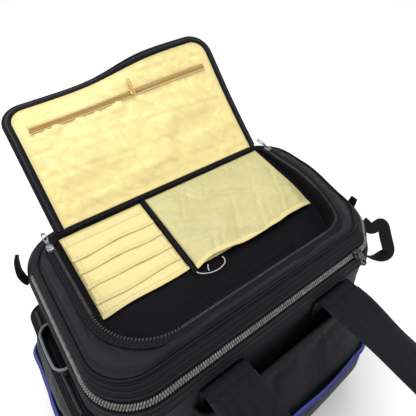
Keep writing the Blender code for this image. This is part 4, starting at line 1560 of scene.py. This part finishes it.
    def build_binding(self) -> None:
        """The bound edge: grosgrain folded over the rim and over a cord, and its stitches."""
        x, s = self.edge(0.0006, 260)
        path = self.out(x, s, -0.0018)
        side, normal = upright(path, self.tilt.normal)
        profile = oval(0.0048, 0.0050, 14, 2.6)
        shape = Shape().patch(sweep(path, side, normal, profile), ring=True, caps=True, wear=0.5)
        inner_x, inner_s = self.edge(0.0022, 260)
        add_stitches(shape, self.out(inner_x, inner_s, 0.0006), self.tilt.normal, 1)
        binding = shape.make("flap_bound_edge", [TAPE, BLACK_THREAD], weld=0.0)
        self.attach(binding, "black_tape", -0.0018, "flap_binding")

    def build_hinge(self) -> None:
        """The cloth at the flap's root: a strip that turns smoothly from the lid to the flap."""
        x = np.linspace(-self.half + 0.001, self.half - 0.001, 80)
        lid_y, lid_z = self.tilt.y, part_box("lid_panel")[1].z
        profile = [(lid_y + 0.0055, lid_z + 0.0012), (lid_y + 0.0015, lid_z + 0.0022),
                   (lid_y - 0.0008, lid_z + 0.0042)]
        for s in (0.0010, 0.0040, 0.0075):
            point = self.tilt.out(0.0, s, -0.0008)
            profile.append((point[1], point[2]))
        line = spline(profile, 16)
        wave = 0.0004 * folds(x[None], line[:, :1], 0.03, 91)
        grid = np.stack([np.broadcast_to(x, (16, 80)),
                         np.broadcast_to(line[:, :1], (16, 80)) + wave,
                         np.broadcast_to(line[:, 1:], (16, 80)) + wave], -1)
        strip = thicken(Shape().patch(grid, wear=0.3).make("flap_cloth_hinge", [TAPE]), 0.0012)
        start, end = (0.0, *profile[1]), (0.0, *profile[4])
        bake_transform(strip, "lid", "flap", start=start, end=end)

    def build_zip(self) -> None:
        """The inner pocket's gold zip: its tape, and coils that meet on the slider's right."""
        x = np.linspace(-self.zip_half, self.zip_half, 120)
        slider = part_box("flap_pocket_slider")
        middle = (slider[0].x + slider[1].x) / 2
        shape = Shape()
        rows = []
        for offset, lift in ((-0.0060, 0.0010), (-0.0042, 0.0015), (-0.0020, 0.0014),
                             (0.0, 0.0012),
                             (0.0020, 0.0014), (0.0042, 0.0015), (0.0060, 0.0010)):
            rows.append(self.out(x, self.line(x) + offset, lift))
        shape.patch(np.array(rows), wear=0.15)
        for side in (-1, 1):
            gap = side * (0.0008 + 0.0012 * ease(middle - x, 0.002, 0.020))
            add_teeth(shape, self.out(x, self.line(x) + gap, 0.0022), self.tilt.normal, 0.0026,
                      0.0019, 1,
                      slant=20.0 * side, phase=0.25 * side, width=0.0010)
        for offset in (-0.0050, 0.0050):
            add_stitches(shape, self.out(x, self.line(x) + offset, 0.0020), self.tilt.normal, 2,
                         0.0030)
        piece = shape.make("flap_gold_zip", [GOLD_TAPE, GOLD_COIL, YELLOW_THREAD], weld=0.0)
        self.attach(thicken(piece, 0.0005), "gold_tape", 0.0012, "flap_pocket_zip")

    def build_pull(self) -> None:
        """The gold zip's slider and its pull, which points to the free edge."""
        tilt = self.tilt
        base = tilt.out(0.0140, self.zip_line, 0.0024)
        ZipSlider("flap_pocket_slider", "flap_slider", "gold_metal", BRASS, tuple(base), X_AXIS,
                  tilt.ahead, 0.0084, 0.0108, 0.0036, 0.0022).build()
        pivot = tilt.out(0.0140, self.zip_line + 0.0020, 0.0076)
        ZipPull("flap_pocket_pull", "flap_pull", "gold_metal", BRASS, tuple(pivot), X_AXIS,
                tilt.ahead,
                0.0064, 0.0220, (0.72, 0.50)).build()

    def build(self) -> None:
        """Every piece of the flap."""
        self.build_cover()
        self.build_lining()
        self.build_seams()
        self.build_border()
        self.build_binding()
        self.build_hinge()
        self.build_zip()
        self.build_pull()


# ---- body -----------------------------------------------------------------------------------
@dataclass
class Body:
    """The padded shell, the band that carries the zip, and the cloth hinge at the rear."""

    side: Rows = ((0.2300, 0.1435, 0.0004, 0.052), (0.2348, 0.1483, 0.0050, 0.056),
                  (0.2372, 0.1507, 0.0140, 0.058), (0.2405, 0.1532, 0.0600, 0.061),
                  (0.2412, 0.1537, 0.1200, 0.063), (0.2416, 0.1541, 0.2000, 0.064),
                  (0.2422, 0.1548, 0.2560, 0.066))
    band: Rows = ((0.2395, 0.1502, 0.2714, 0.063), (0.2412, 0.1532, 0.2662, 0.0645),
                  (0.2424, 0.1552, 0.2594, 0.066), (0.2427, 0.1557, 0.2546, 0.0662))
    chain: Rows = ((0.2375, 0.1471, 0.2748, 0.062), (0.2392, 0.1496, 0.2722, 0.063))
    wall: float = 0.0050
    floor: float = 0.0060

    def sag(self, grid: np.ndarray) -> np.ndarray:
        """How far each wall point moves outwards.

        The walls belly by up to 3 mm at mid height between their corners, sink a little below
        the band, and carry long slanting creases that fade towards the top and the base.
        """
        height = grid[..., 2] / 0.26
        flat = 1 - np.abs(PLAN.outward()).min(1) * 1.4
        belly = 0.0030 * np.sin(np.clip(height, 0, 1) * math.pi) ** 1.5 * flat
        around = np.linspace(0, 1.5, grid.shape[1])
        fade = ease(height, 0.04, 0.3) * (1 - ease(height, 0.72, 0.95))
        crease = 0.0016 * folds(around[None], grid[..., 2], 0.11, 101, stretch=1.6) * fade
        return belly + crease - 0.0012 * bell(height, 0.93, 0.04)

    def build_shell(self) -> None:
        """The shell: up the outside, over the rim, and down the inside to the floor.

        Both faces are the same loft, the inner one drawn in by the wall's thickness, so the wall
        keeps its thickness where it sags.
        """
        outer = loft(self.side, 60)
        outer = moved(outer, self.sag(outer) * ease(outer[..., 2], 0.0, 0.02))
        inner = moved(outer, np.full(outer.shape[:2], -self.wall))[::-1].copy()
        inner[..., 2] = np.maximum(inner[..., 2], self.floor)
        inner = inner[:-4]
        shape = Shape().patch(np.concatenate([outer, inner]), ring=True, caps=True,
                              wear=np.concatenate([0.8 * np.exp(-outer[..., 2] / 0.02),
                                                   0 * inner[..., 2]]))
        for height in (0.0165, 0.2440, 0.2475):
            row = int(np.abs(outer[:, 0, 2] - height).argmin())
            path = moved(outer[row:row + 1], np.full((1, outer.shape[1]), 0.0003))[0]
            outward = np.append(PLAN.outward(), np.zeros((len(path), 1)), 1)
            add_stitches(shape, np.vstack([path, path[:1]]), np.vstack([outward, outward[:1]]), 1)
        shell = place(shape.make("body_sagging_shell", [NYLON, BLACK_THREAD]), "bag",
                      "black_nylon",
                      "body_shell")

    def build_band(self) -> None:
        """The body's half of the sloping band: two sewn ribs above a piped lower edge."""
        rows = 16
        grid = loft(self.band, rows)
        share = np.linspace(0, 1, rows)
        rib = sum(bell(share, at, 0.09) for at in (0.25, 0.62)) * 0.0008
        grid = moved(grid, np.broadcast_to(rib[:, None], grid.shape[:2]))
        shape = Shape().patch(grid, ring=True, wear=0.2 * (rib / 0.0008)[:, None])
        outward = np.append(PLAN.outward(), np.full((grid.shape[1], 1), 0.5), 1)
        for row in (2, 7, 12):
            add_stitches(shape, np.vstack([grid[row], grid[row, :1]])
                         + np.vstack([outward, outward[:1]]) * 0.0008,
                         np.vstack([outward, outward[:1]]), 1)
        lower = grid[-1] + outward * (0.0004, 0.0004, 0.0)
        add_tube(shape, lower, 0.0016, closed=True, slot=2, wear=0.4)
        band = shape.make("body_sloping_band", [NYLON, BLACK_THREAD, TAPE])
        place(thicken(band, 0.0016), "bag", "black_nylon", "body_zip_band")

    def build_chain(self) -> None:
        """The body's half of the main zip."""
        add_zip_half("body_coil_half", "bag", "body_zip_chain",
                     loft(self.chain, 3)[:, PLAN.from_rear()], 0.5, 0.30)

    def build_hinge(self) -> None:
        """The cloth hinge: a strip across the rear that turns from the body to the lid."""
        columns = PLAN.across_rear()
        levels = ((0.2400, 0.1512, 0.2690, 0.063), (0.2396, 0.1503, 0.2722, 0.063),
                  (0.2380, 0.1476, 0.2752, 0.062), (0.2360, 0.1444, 0.2782, 0.061),
                  (0.2345, 0.1412, 0.2806, 0.060))
        grid = loft(levels, 18)[:, columns]
        grid[..., 2] += 0.0010
        grid += np.append(PLAN.outward()[columns], np.zeros((len(columns), 1)), 1) * 0.0008
        strip = thicken(Shape().patch(grid, wear=0.3).make("rear_cloth_hinge", [TAPE]), 0.0012)
        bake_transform(strip, "bag", "lid", start=(0.0, 0.1500, 0.2722), end=(0.0, 0.1444, 0.2782))
        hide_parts("rear_hinge_tape")

    def build(self) -> None:
        """Every piece of the body."""
        self.build_shell()
        self.build_band()
        self.build_chain()
        self.build_hinge()


class Side(Enum):
    """Which wall a pocket is sewn to: its name, and its quarter turns from the front."""

    FRONT = ("front", 0)
    LEFT = ("left", -1)
    RIGHT = ("right", 1)


@dataclass
class Pocket:
    """A stuffed pocket on one wall, with a slip pocket and a coloured trim over its lower half."""

    side: Side
    half: float
    wall: float
    levels: Rows
    corner: float = 0.0200
    growth: float = 0.0050
    slip_top: float = 0.1130
    trim_height: float = 0.0120

    @property
    def label(self) -> str:
        """The wall's name."""
        return self.side.value[0]

    def turn(self, x: np.ndarray, out: np.ndarray, z: np.ndarray) -> np.ndarray:
        """Pocket points in the bag's axes: x along the wall, out away from it."""
        x, out, z = np.broadcast_arrays(x, out, z)
        quarter = self.side.value[1]
        if quarter == 0:
            return np.stack([x, -self.wall - out, z], -1)
        return np.stack([quarter * (self.wall + out), quarter * x, z], -1)

    def rows(self, height: np.ndarray, grow: float,
             columns: int = 108) -> tuple[np.ndarray, np.ndarray, np.ndarray]:
        """U-shaped rows in plan: out of the wall, round a corner, across, and back.

        The depth at each height is splined through the levels. The middle bellies out by a
        seventh of the depth, because the pocket is stuffed.

        Args:
            height: the height of each row.
            grow: how far outside the pocket itself.
            columns: points in each row.

        Returns:
            x, out and z, each rows by columns.
        """
        levels = spline(self.levels, 80)[::-1]
        depth = np.interp(height, levels[:, 0], levels[:, 1]) + grow
        half, corner = self.half + grow, self.corner + grow
        turn = np.linspace(0, math.pi / 2, 14)
        across = np.linspace(-1, 1, columns)[1:-1]
        x, out = [], []
        for deep in depth:
            bend = min(corner, deep * 0.85)
            left_x = -half + bend - bend * np.cos(turn)
            left_out = deep - bend + bend * np.sin(turn)
            flat = (half - bend) * across
            line = np.column_stack([np.concatenate([[-half, -half], left_x, flat, -left_x[::-1],
                                                    [half, half]]),
                                    np.concatenate([[0, (deep - bend) / 2], left_out,
                                                    np.full(len(flat), deep),
                                                    left_out[::-1], [(deep - bend) / 2, 0]])])
            line = even(line, columns)
            x.append(line[:, 0])
            out.append(line[:, 1])
        x, out = np.array(x), np.array(out)
        belly = np.cos(np.clip(x / half, -1, 1) * math.pi / 2) ** 1.3 * ease(out, 0.004, 0.02)
        out = out + belly * (depth[:, None] / 7) * 0.6
        return x, out, np.broadcast_to(height[:, None], x.shape)

    def build_main(self, nodes: Sequence[str]) -> None:
        """The pocket's padded cloth, closed under by its floor and settled by simulation."""
        top, bottom = self.levels[0][0], self.levels[-1][0]
        height = np.linspace(top, bottom, 54)
        x, out, z = self.rows(height, 0.0)
        fade = ease(z, bottom, bottom + 0.03) * (1 - ease(z, top - 0.02, top))
        out = out + 0.0016 * folds(x, z, 0.07, 120 + self.side.value[1],
                                   stretch=1.3) * fade * ease(out, 0.005, 0.02)
        floor = [(x[-1:] * (1 - 0.02 * k), out[-1:] * (1 - share),
                  z[-1:] - 0.0018 * min(1, 3 * share))
                 for k, share in enumerate(np.linspace(0.05, 0.97, 8))]
        grid = np.concatenate([self.turn(x, out, z), *(self.turn(*row) for row in floor)])
        piece = Shape().patch(grid, wear=0.3 * np.exp(-(grid[..., 2] - bottom) / 0.02)).make(
            f"{self.label}_pocket_cloth", [NYLON])
        pinned = 1 - fade * ease(out, 0.003, 0.018)
        pinned = np.concatenate([pinned, np.ones((8, pinned.shape[1]))])
        settle(piece, np.clip(pinned.ravel(), 0, 1), pressure=0.8, slack=0.012, cap=0.004,
               frames=14)
        place(thicken(piece, 0.0024), "bag", "black_nylon", *nodes)

    def build_slip(self) -> None:
        """The thin outer pocket, its stitched edges, and the trim folded over its mouth."""
        bottom = self.levels[-1][0] + 0.010
        height = np.linspace(self.slip_top, bottom, 30)
        x, out, z = self.rows(height, self.growth)
        lift = 0.0016 * np.sin(x / self.half * 5.0) * ease(z, self.slip_top - 0.05, self.slip_top)
        out = np.maximum(out + np.maximum(lift, -0.0008), 0.0045)
        grid = self.turn(x, out, z)
        shape = Shape().patch(grid, wear=0.15)
        outward = self.turn(0.0, 1.0, 0.0) - self.turn(0.0, 0.0, 0.0)
        for row in (24, 26):
            add_stitches(shape, grid[row] + outward * 0.0010, outward, 1)
        slip = shape.make(f"{self.label}_slip_cloth", [NYLON, BLACK_THREAD], weld=0.0)
        place(thicken(slip, 0.0014), "bag", "black_nylon", f"{self.label}_slip_pocket")
        rise = np.linspace(-0.5, 0.5, 9)
        rim = self.slip_top + 0.0012 + self.trim_height / 2
        x, out, z = self.rows(np.full(9, self.slip_top), self.growth)
        swell = 0.0018 * np.sqrt(np.clip(1 - (2 * rise) ** 2, 0, 1))[:, None]
        lift = 0.0016 * np.sin(x / self.half * 5.0)
        out = np.maximum(out + np.maximum(lift, -0.0008) + swell, 0.0045)
        z = rim + rise[:, None] * self.trim_height + 0 * x
        band = self.turn(x, out, z)
        shape = Shape().patch(band, wear=0.5 * np.abs(rise)[:, None] * 2)
        for row in (2, 6):
            add_stitches(shape, band[row] + outward * 0.0012, outward, 1)
        trim = shape.make(f"{self.label}_trim_band", [BLUE, BLUE_THREAD], weld=0.0)
        place(thicken(trim, 0.0022), "bag", "blue_trim", f"{self.label}_trim")


@dataclass
class FrontPocket(Pocket):
    """The big pocket on the front, open at the top, with a piped mouth."""

    def build(self) -> None:
        """The pocket, its slip pocket and its piping."""
        self.build_main(["front_pocket"])
        self.build_slip()
        top = self.levels[0][0]
        x, out, z = self.rows(np.array([top + 0.0022]), 0.0)
        path = self.turn(x, out, z)[0]
        shape = Shape()
        add_tube(shape, path, 0.0023, wear=0.5)
        x, out, z = self.rows(np.array([top - 0.0060]), 0.0010)
        outward = self.turn(0.0, 1.0, 0.0) - self.turn(0.0, 0.0, 0.0)
        add_stitches(shape, self.turn(x, out, z)[0] + outward * 0.0010, outward, 1)
        place(shape.make("front_pocket_corded_mouth", [TAPE, BLACK_THREAD], weld=0.0), "bag",
              "black_tape",
              "front_pocket_piping")


@dataclass
class EndPocket(Pocket):
    """A pocket on one end, closed by a zip across its top."""

    def build(self) -> None:
        """The pocket, its slip pocket and its zipped top."""
        self.build_main([f"{self.label}_end_pocket"])
        self.build_slip()
        top = self.levels[0][0] + 0.0014
        x, out, _ = self.rows(np.array([top]), 0.0)
        share = np.linspace(0, 1, 12)[:, None]
        arch = 0.0030 * np.sin(math.pi * share) * np.cos(x / self.half * 1.4)
        grid = self.turn(x * (1 - 0.01 * share), 0.0008 + (out - 0.0008) * (1 - share), top + arch)
        shape = Shape().patch(grid, wear=0.2)
        middle = grid[5, 12:-12] + (0, 0, 0.0009)
        for lean, phase in ((22.0, 0.0), (-22.0, 0.5)):
            add_teeth(shape, middle, Z_AXIS, 0.0050, 0.0029, 1, slant=lean, phase=phase)
        for row in (3, 8):
            add_stitches(shape, grid[row, 8:-8] + (0, 0, 0.0010), Z_AXIS, 2)
        lid = shape.make(f"{self.label}_pocket_coil_top", [TAPE, BLACK_COIL, BLACK_THREAD],
                         weld=0.0)
        place(thicken(lid, 0.0012), "bag", "black_tape", f"{self.label}_pocket_zip")


@dataclass
class PenSleeve(Pocket):
    """The small sleeve on the left end with a grey bound mouth."""

    def build(self) -> None:
        """The sleeve and its binding."""
        height = np.linspace(self.levels[0][0], self.levels[-1][0], 14)
        x, out, z = self.rows(height, 0.0, 60)
        piece = Shape().patch(self.turn(x, out, z)).make("pen_sleeve_cloth", [NYLON])
        place(thicken(piece, 0.0014), "bag", "black_nylon", "left_pen_sleeve")
        x, out, z = self.rows(np.array([self.levels[0][0]]), 0.0, 60)
        path = self.turn(x, out, z + 0.0016)[0]
        shape = Shape()
        add_tube(shape, path, 0.0017, wear=0.6)
        place(shape.make("pen_sleeve_binding", [GREY]), "bag", "grey_binding",
              "left_sleeve_binding")


# ---- handles and loops ----------------------------------------------------------------------
@dataclass
class Handle:
    """A U-shaped carry strap of folded webbing, and the two tongues that it is sewn to."""

    name: str
    body: str
    left: float
    right: float
    pivot: tuple[float, float]
    reach: float
    turn: float
    tongue: Rows
    width: float = 0.0640
    bend: float = 0.0620
    thickness: float = 0.0036

    def centreline(self) -> np.ndarray:
        """The U in the strap's own plane: two straight legs, two quarter circles, one grip."""
        arc = np.linspace(0, math.pi / 2, 20)
        far, r = self.reach, self.bend
        leg = np.linspace(0, far - r, 26)[:-1]
        left = np.column_stack([np.full(25, self.left), leg])
        first = np.column_stack([self.left + r - r * np.cos(arc), far - r + r * np.sin(arc)])
        second = np.column_stack([self.right - r + r * np.cos(arc),
                                  far - r + r * np.sin(arc)])[::-1]
        right = np.column_stack([np.full(25, self.right), leg[::-1]])
        return even(np.vstack([left, first, second, right]), 150)

    def build_strap(self) -> None:
        """The strap: a folded profile carried round the U.

        The profile is flat for its inner two thirds and slopes down over its outer third, as
        webbing folded along a crease does. The crease fades at the grip, where the two edges
        are rolled closer, and at the legs' ends, where the strap is sewn flat.
        """
        plane = Tilt(self.pivot[0], self.pivot[1], math.pi + self.turn)
        line = self.centreline()
        path = plane.out(line[:, 0], line[:, 1], 0.0)
        path = path - plane.normal * 0.0018 * np.sin(np.linspace(0, math.pi, 150))[:, None]
        side, _ = upright(path, plane.normal)
        middle = (self.left + self.right) / 2
        inward = np.sign(((np.array([middle, 0, 0]) - path) * side)[:, 0].sum())
        side, normal = -side * inward, -np.broadcast_to(plane.normal, path.shape)
        along_path = np.linspace(0, 1, 150)
        fold = ease(along_path, 0.02, 0.16) * (1 - ease(along_path, 0.84, 0.98))
        grip = bell(along_path, 0.5, 0.10)
        profile = oval(self.width, self.thickness, 56, 7.0)
        across, height = profile[:, 0], profile[:, 1]
        crease = self.width * 0.17
        over = np.maximum(across - crease, 0)
        drop = 0.42 * np.maximum(over - 0.0015, 0) + 0.05 * over
        ridge = 0.0007 * bell(across, crease, 0.0016) - 0.0006 * bell(across, crease - 0.0045,
                                                                      0.0016)
        wave = 0.0010 * np.sin(along_path * 23.0)[:, None] * (across / self.width)[None] ** 2 * 4
        rolled = grip[:, None] * 0.9 * (across**2)[None] / self.width * 2
        shape_y = height[None] - fold[:, None] * (drop - ridge)[None] - rolled + wave
        shape_x = across[None] * (1 - 0.06 * fold[:, None] - 0.16 * grip[:, None])
        profile = np.stack([shape_x, shape_y], -1)
        grid = sweep(path, side, normal, profile)
        edge = np.clip((np.abs(across) - self.width * 0.44) / (self.width * 0.06), 0, 1)
        shape = Shape().patch(grid, ring=True, caps=True,
                              wear=0.15 + 0.55 * edge[None] + 0.2 * grip[:, None])
        for column in (3, 12, 19, 24):
            add_stitches(shape, grid[4:-4, column] + normal[4:-4] * 0.0002, normal[4:-4], 1)
        strap = shape.make(f"{self.name}_folded_strap", [WEBBING, BLACK_THREAD], weld=0.0)
        place(strap, self.body, "black_webbing", self.name)

    def build_tongues(self) -> None:
        """Each tongue: webbing sewn flat to the wall and turned out to meet its strap."""
        for side, x in (("left", self.left), ("right", self.right)):
            route = spline([(x, y, z) for y, z in self.tongue], 40)
            shape = Shape()
            add_strip(shape, route, X_AXIS, self.width, 0.0026, sides=40, wear=0.25)
            outward = unit(np.cross(tangents(route), X_AXIS))
            outward *= np.sign(self.pivot[0]) * np.sign(outward[:, 1:2] + 1e-9)
            flat = slice(1, 24)
            for across in (-0.42, -0.36, 0.36, 0.42):
                add_stitches(shape,
                             route[flat] + (self.width * across, 0, 0) + outward[flat] * 0.0013,
                             outward[flat], 1)
            corners = [(-0.36, 2), (0.36, 2), (0.36, 20), (-0.36, 20)]
            points = np.array([route[row] + (self.width * across, 0, 0) for across,
                               row in corners])
            points = points + outward[2] * 0.0016
            for a, b in ((0, 1), (2, 3), (0, 2), (1, 3)):
                add_stitches(shape, np.linspace(points[a], points[b], 20), outward[2], 1)
            tongue = shape.make(f"{self.name}_tongue_{side}", [WEBBING, BLACK_THREAD], weld=0.0)
            place(tongue, "bag", "black_webbing", f"{self.name}_anchor_{side}")

    def build(self) -> None:
        """The strap and its tongues."""
        self.build_strap()
        self.build_tongues()


@dataclass(frozen=True)
class Loop:
    """A loop or tab of webbing sewn to the bag at both its ends."""

    name: str
    node: str
    route: Rows
    across: Row
    width: float
    twist: float = 0.0
    pinch: float = 1.0

    def build(self) -> None:
        """The webbing follows its route, turns about it by its twist, and narrows at its ends.

        The side direction is turned about the path by the twist, less a smooth step near the far
        end, and the width passes from pinch times itself at the ends to full in the middle.
        """
        path = spline(self.route, 64)
        ahead = tangents(path)
        side = unit(np.asarray(self.across, float)
                    - ahead * (ahead @ np.asarray(self.across, float))[:, None])
        normal = np.cross(side, ahead)
        share = np.linspace(0, 1, 64)
        angle = math.radians(self.twist) * (1 - ease(share, 0.62, 0.90))[:, None]
        c, s = np.cos(angle), np.sin(angle)
        side, normal = side * c + normal * s, normal * c - side * s
        profile = oval(self.width, 0.0022, 28, 6.0)
        width = self.pinch + (1 - self.pinch) * np.sin(math.pi * share) ** 0.6
        bow = 0.0011 * (1 - (2 * profile[:, 0] / self.width) ** 2)
        grown = np.stack([profile[None, :, 0] * width[:, None],
                          np.broadcast_to(profile[:, 1] + bow, (64, 28))], -1)
        edge = np.clip((np.abs(profile[:, 0]) / self.width - 0.40) / 0.1, 0, 1)
        shape = Shape().patch(sweep(path, side, normal, grown), ring=True, caps=True,
                              wear=0.15 + 0.5 * edge)
        for turn in (-0.36, 0.36):
            line = path + side * (self.width * turn * width)[:, None] + normal * 0.0016
            add_stitches(shape, line, normal, 1)
        for end in (4, -5):
            ends = path[end] + side[end] * np.linspace(-0.4, 0.4,
                                                       12)[:, None] * self.width * self.pinch
            add_stitches(shape, ends + normal[end] * 0.0018, normal[end], 1)
        place(shape.make(f"{self.name}_webbing", [WEBBING, BLACK_THREAD], weld=0.0), "bag",
              "black_webbing", self.node)


# ---- studio ---------------------------------------------------------------------------------
@dataclass(frozen=True)
class Studio:
    """A white sweep, three soft lamps and the camera."""

    eye: tuple[float, float, float] = (-0.2223, -0.2874, 0.6700)
    tilt: float = 47.0
    heading: float = -36.6
    lens: float = 31.24

    def build_camera(self) -> None:
        """A level camera above the bag's left front, looking down at the open flap."""
        data = bpy.data.cameras.new("camera")
        data.sensor_width, data.lens = 36.0, self.lens
        data.clip_start, data.clip_end = 0.02, 30.0
        camera = bpy.data.objects.new("camera", data)
        camera.location = self.eye
        camera.rotation_euler = (math.radians(self.tilt), 0.0, math.radians(self.heading))
        bpy.context.scene.collection.objects.link(camera)
        bpy.context.scene.camera = camera

    def build_floor(self) -> None:
        """A plain pale floor with a faint grain."""
        shader = Shader("pale_floor")
        grain = shader.noise(30.0, 3.0)
        shader.finish(Base_Color=shader.mix((0.95, 0.95, 0.95), (0.97, 0.97, 0.97), grain),
                      Roughness=0.9)
        mesh = bpy.data.meshes.new("floor")
        reach = 9.0
        mesh.from_pydata([(-reach, -reach, 0), (reach, -reach, 0), (reach, reach, 0),
                          (-reach, reach, 0)],
                         [], [(0, 1, 2, 3)])
        mesh.materials.append(shader.material)
        floor = bpy.data.objects.new("floor", mesh)
        bpy.context.scene.collection.objects.link(floor)

    def build_lamps(self) -> None:
        """A white surround, and three area lamps: above, at the left and at the front right."""
        bpy.context.scene.view_settings.view_transform = "Standard"
        world = bpy.data.worlds.new("surround")
        bpy.context.scene.world = world
        world.use_nodes = True
        back = world.node_tree.nodes["Background"]
        back.inputs["Color"].default_value, back.inputs["Strength"].default_value = (1, 1, 1,
                                                                                     1), 0.98
        for name, spot, aim, size, power in (
                ("overhead", (0.15, 0.5, 1.9), (0.0, 0.05, 0.25), 1.1, 13.0),
                ("left", (-1.6, 0.5, 1.2), (0.0, 0.0, 0.2), 0.7, 9.0),
                ("front", (0.9, -1.5, 1.1), (0.0, 0.0, 0.2), 1.0, 4.0)):
            lamp = bpy.data.lights.new(name, "AREA")
            lamp.energy, lamp.size = power, size
            obj = bpy.data.objects.new(name, lamp)
            ahead = unit(np.subtract(aim, spot))
            side = unit(np.cross(ahead, Z_AXIS))
            up = np.cross(side, ahead)
            matrix = np.eye(4)
            matrix[:3, :3] = np.stack([side, up, -ahead], 1)
            matrix[:3, 3] = spot
            obj.matrix_world = Matrix(matrix.tolist())
            bpy.context.scene.collection.objects.link(obj)

    def build(self) -> None:
        """Floor, lamps and surround. The camera comes first, before the cords."""
        self.build_floor()
        self.build_lamps()


def dress_board() -> None:
    """Gives the stiff board in the bag's floor its own finish. Its CAD shape is right."""
    node = frame["nodes"]["base_board"]
    node.data.materials.clear()
    node.data.materials.append(BOARD.material())


def build_main_zip() -> None:
    """The main zip's black slider and its pull, at the right end of the front."""
    low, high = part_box("main_zip_slider")
    slope = math.radians(45.0)
    along_x = -0.0100
    middle = np.array([(low.x + high.x) / 2 + along_x, (low.y + high.y) / 2, (low.z + high.z) / 2])
    ahead = np.array([0.0, math.cos(slope), math.sin(slope)])
    up = np.array([0.0, -math.sin(slope), math.cos(slope)])
    ZipSlider("main_zip_slider", "main_slider", "black_metal", BLACK_METAL,
              tuple(middle - up * 0.0030),
              -ahead, X_AXIS, 0.0112, 0.0150, 0.0056, 0.0030).build()
    ZipPull("main_zip_pull", "main_pull", "black_metal", BLACK_METAL,
            tuple(np.asarray(pivot("main_pull_swing")) + (along_x, 0.0, 0.0)),
            X_AXIS, -ahead, 0.0110, 0.0200, (0.74, 0.34), 0.0018).build()


def main() -> None:
    """Builds the bag piece by piece, from its cords to its handles."""
    logging.basicConfig(level=logging.INFO, format="%(name)s: %(message)s")
    studio = Studio()
    studio.build_camera()
    lid = Lid()
    organizer = Organizer(lid)
    organizer.build_cords()
    studio.build()
    organizer.build()
    lid.build_panel()
    lid.build_piping()
    lid.build_band()
    lid.build_chain()
    build_main_zip()
    Flap().build()
    Body().build()
    dress_board()
    FrontPocket(Side.FRONT, 0.1450, 0.1560,
                ((0.006, 0.044), (0.02, 0.056), (0.06, 0.063), (0.115, 0.057), (0.176, 0.029),
                 (0.206, 0.019))[::-1]).build()
    end_levels = ((0.205, 0.020), (0.17, 0.026), (0.115, 0.033), (0.06, 0.040), (0.02, 0.035),
                  (0.006, 0.025))
    for side in (Side.LEFT, Side.RIGHT):
        EndPocket(side, 0.0930, 0.2436, end_levels).build()
    PenSleeve(Side.LEFT, 0.0360, 0.2436, ((0.2300, 0.0165), (0.2200, 0.0150), (0.2120, 0.0120)),
              corner=0.0130).build()
    front, rear = pivot("front_handle_swing"), pivot("rear_handle_swing")
    Handle("front_handle", "front_carry_handle", -0.1050, 0.0865, (front[1], front[2]), 0.1900,
           math.radians(4.0), ((-0.1576, 0.2060), (-0.1576, 0.2400), (-0.1592, 0.2465),
                               (-0.1655, 0.2482), (front[1] + 0.0010, front[2] - 0.0022),
                               (front[1] - 0.0060, front[2] - 0.0036))).build()
    Handle("rear_handle", "rear_carry_handle", -0.0865, 0.0865, (rear[1], rear[2]), 0.1800,
           math.pi / 2, ((0.1576, 0.2000), (0.1576, 0.2440), (0.1590, 0.2500),
                         (0.1622, 0.2530))).build()
    Loop("right_loop", "right_strap_loop",
         ((0.254, -0.112, 0.248), (0.262, -0.128, 0.238), (0.280, -0.134, 0.242),
          (0.279, -0.150, 0.223), (0.272, -0.165, 0.204), (0.258, -0.152, 0.190),
          (0.248, -0.130, 0.184)), (0.466, 0.554, -0.690), 0.0200, twist=88.0, pinch=0.85).build()
    Loop("left_loop", "left_strap_loop",
         ((-0.2460, 0.106, 0.246), (-0.2490, 0.108, 0.256), (-0.2500, 0.112, 0.266),
          (-0.2470, 0.120, 0.278), (-0.2430, 0.126, 0.284)), (0.5, 1.0, -0.2), 0.0180,
         pinch=0.7).build()
    Loop("corner_fan", "corner_tab",
         ((0.2470, -0.078, 0.250), (0.2500, -0.078, 0.264), (0.2540, -0.078, 0.280)),
         (0.0, 1.0, 0.0), 0.0180, pinch=0.8).build()


if __name__ == "__main__":
    main()
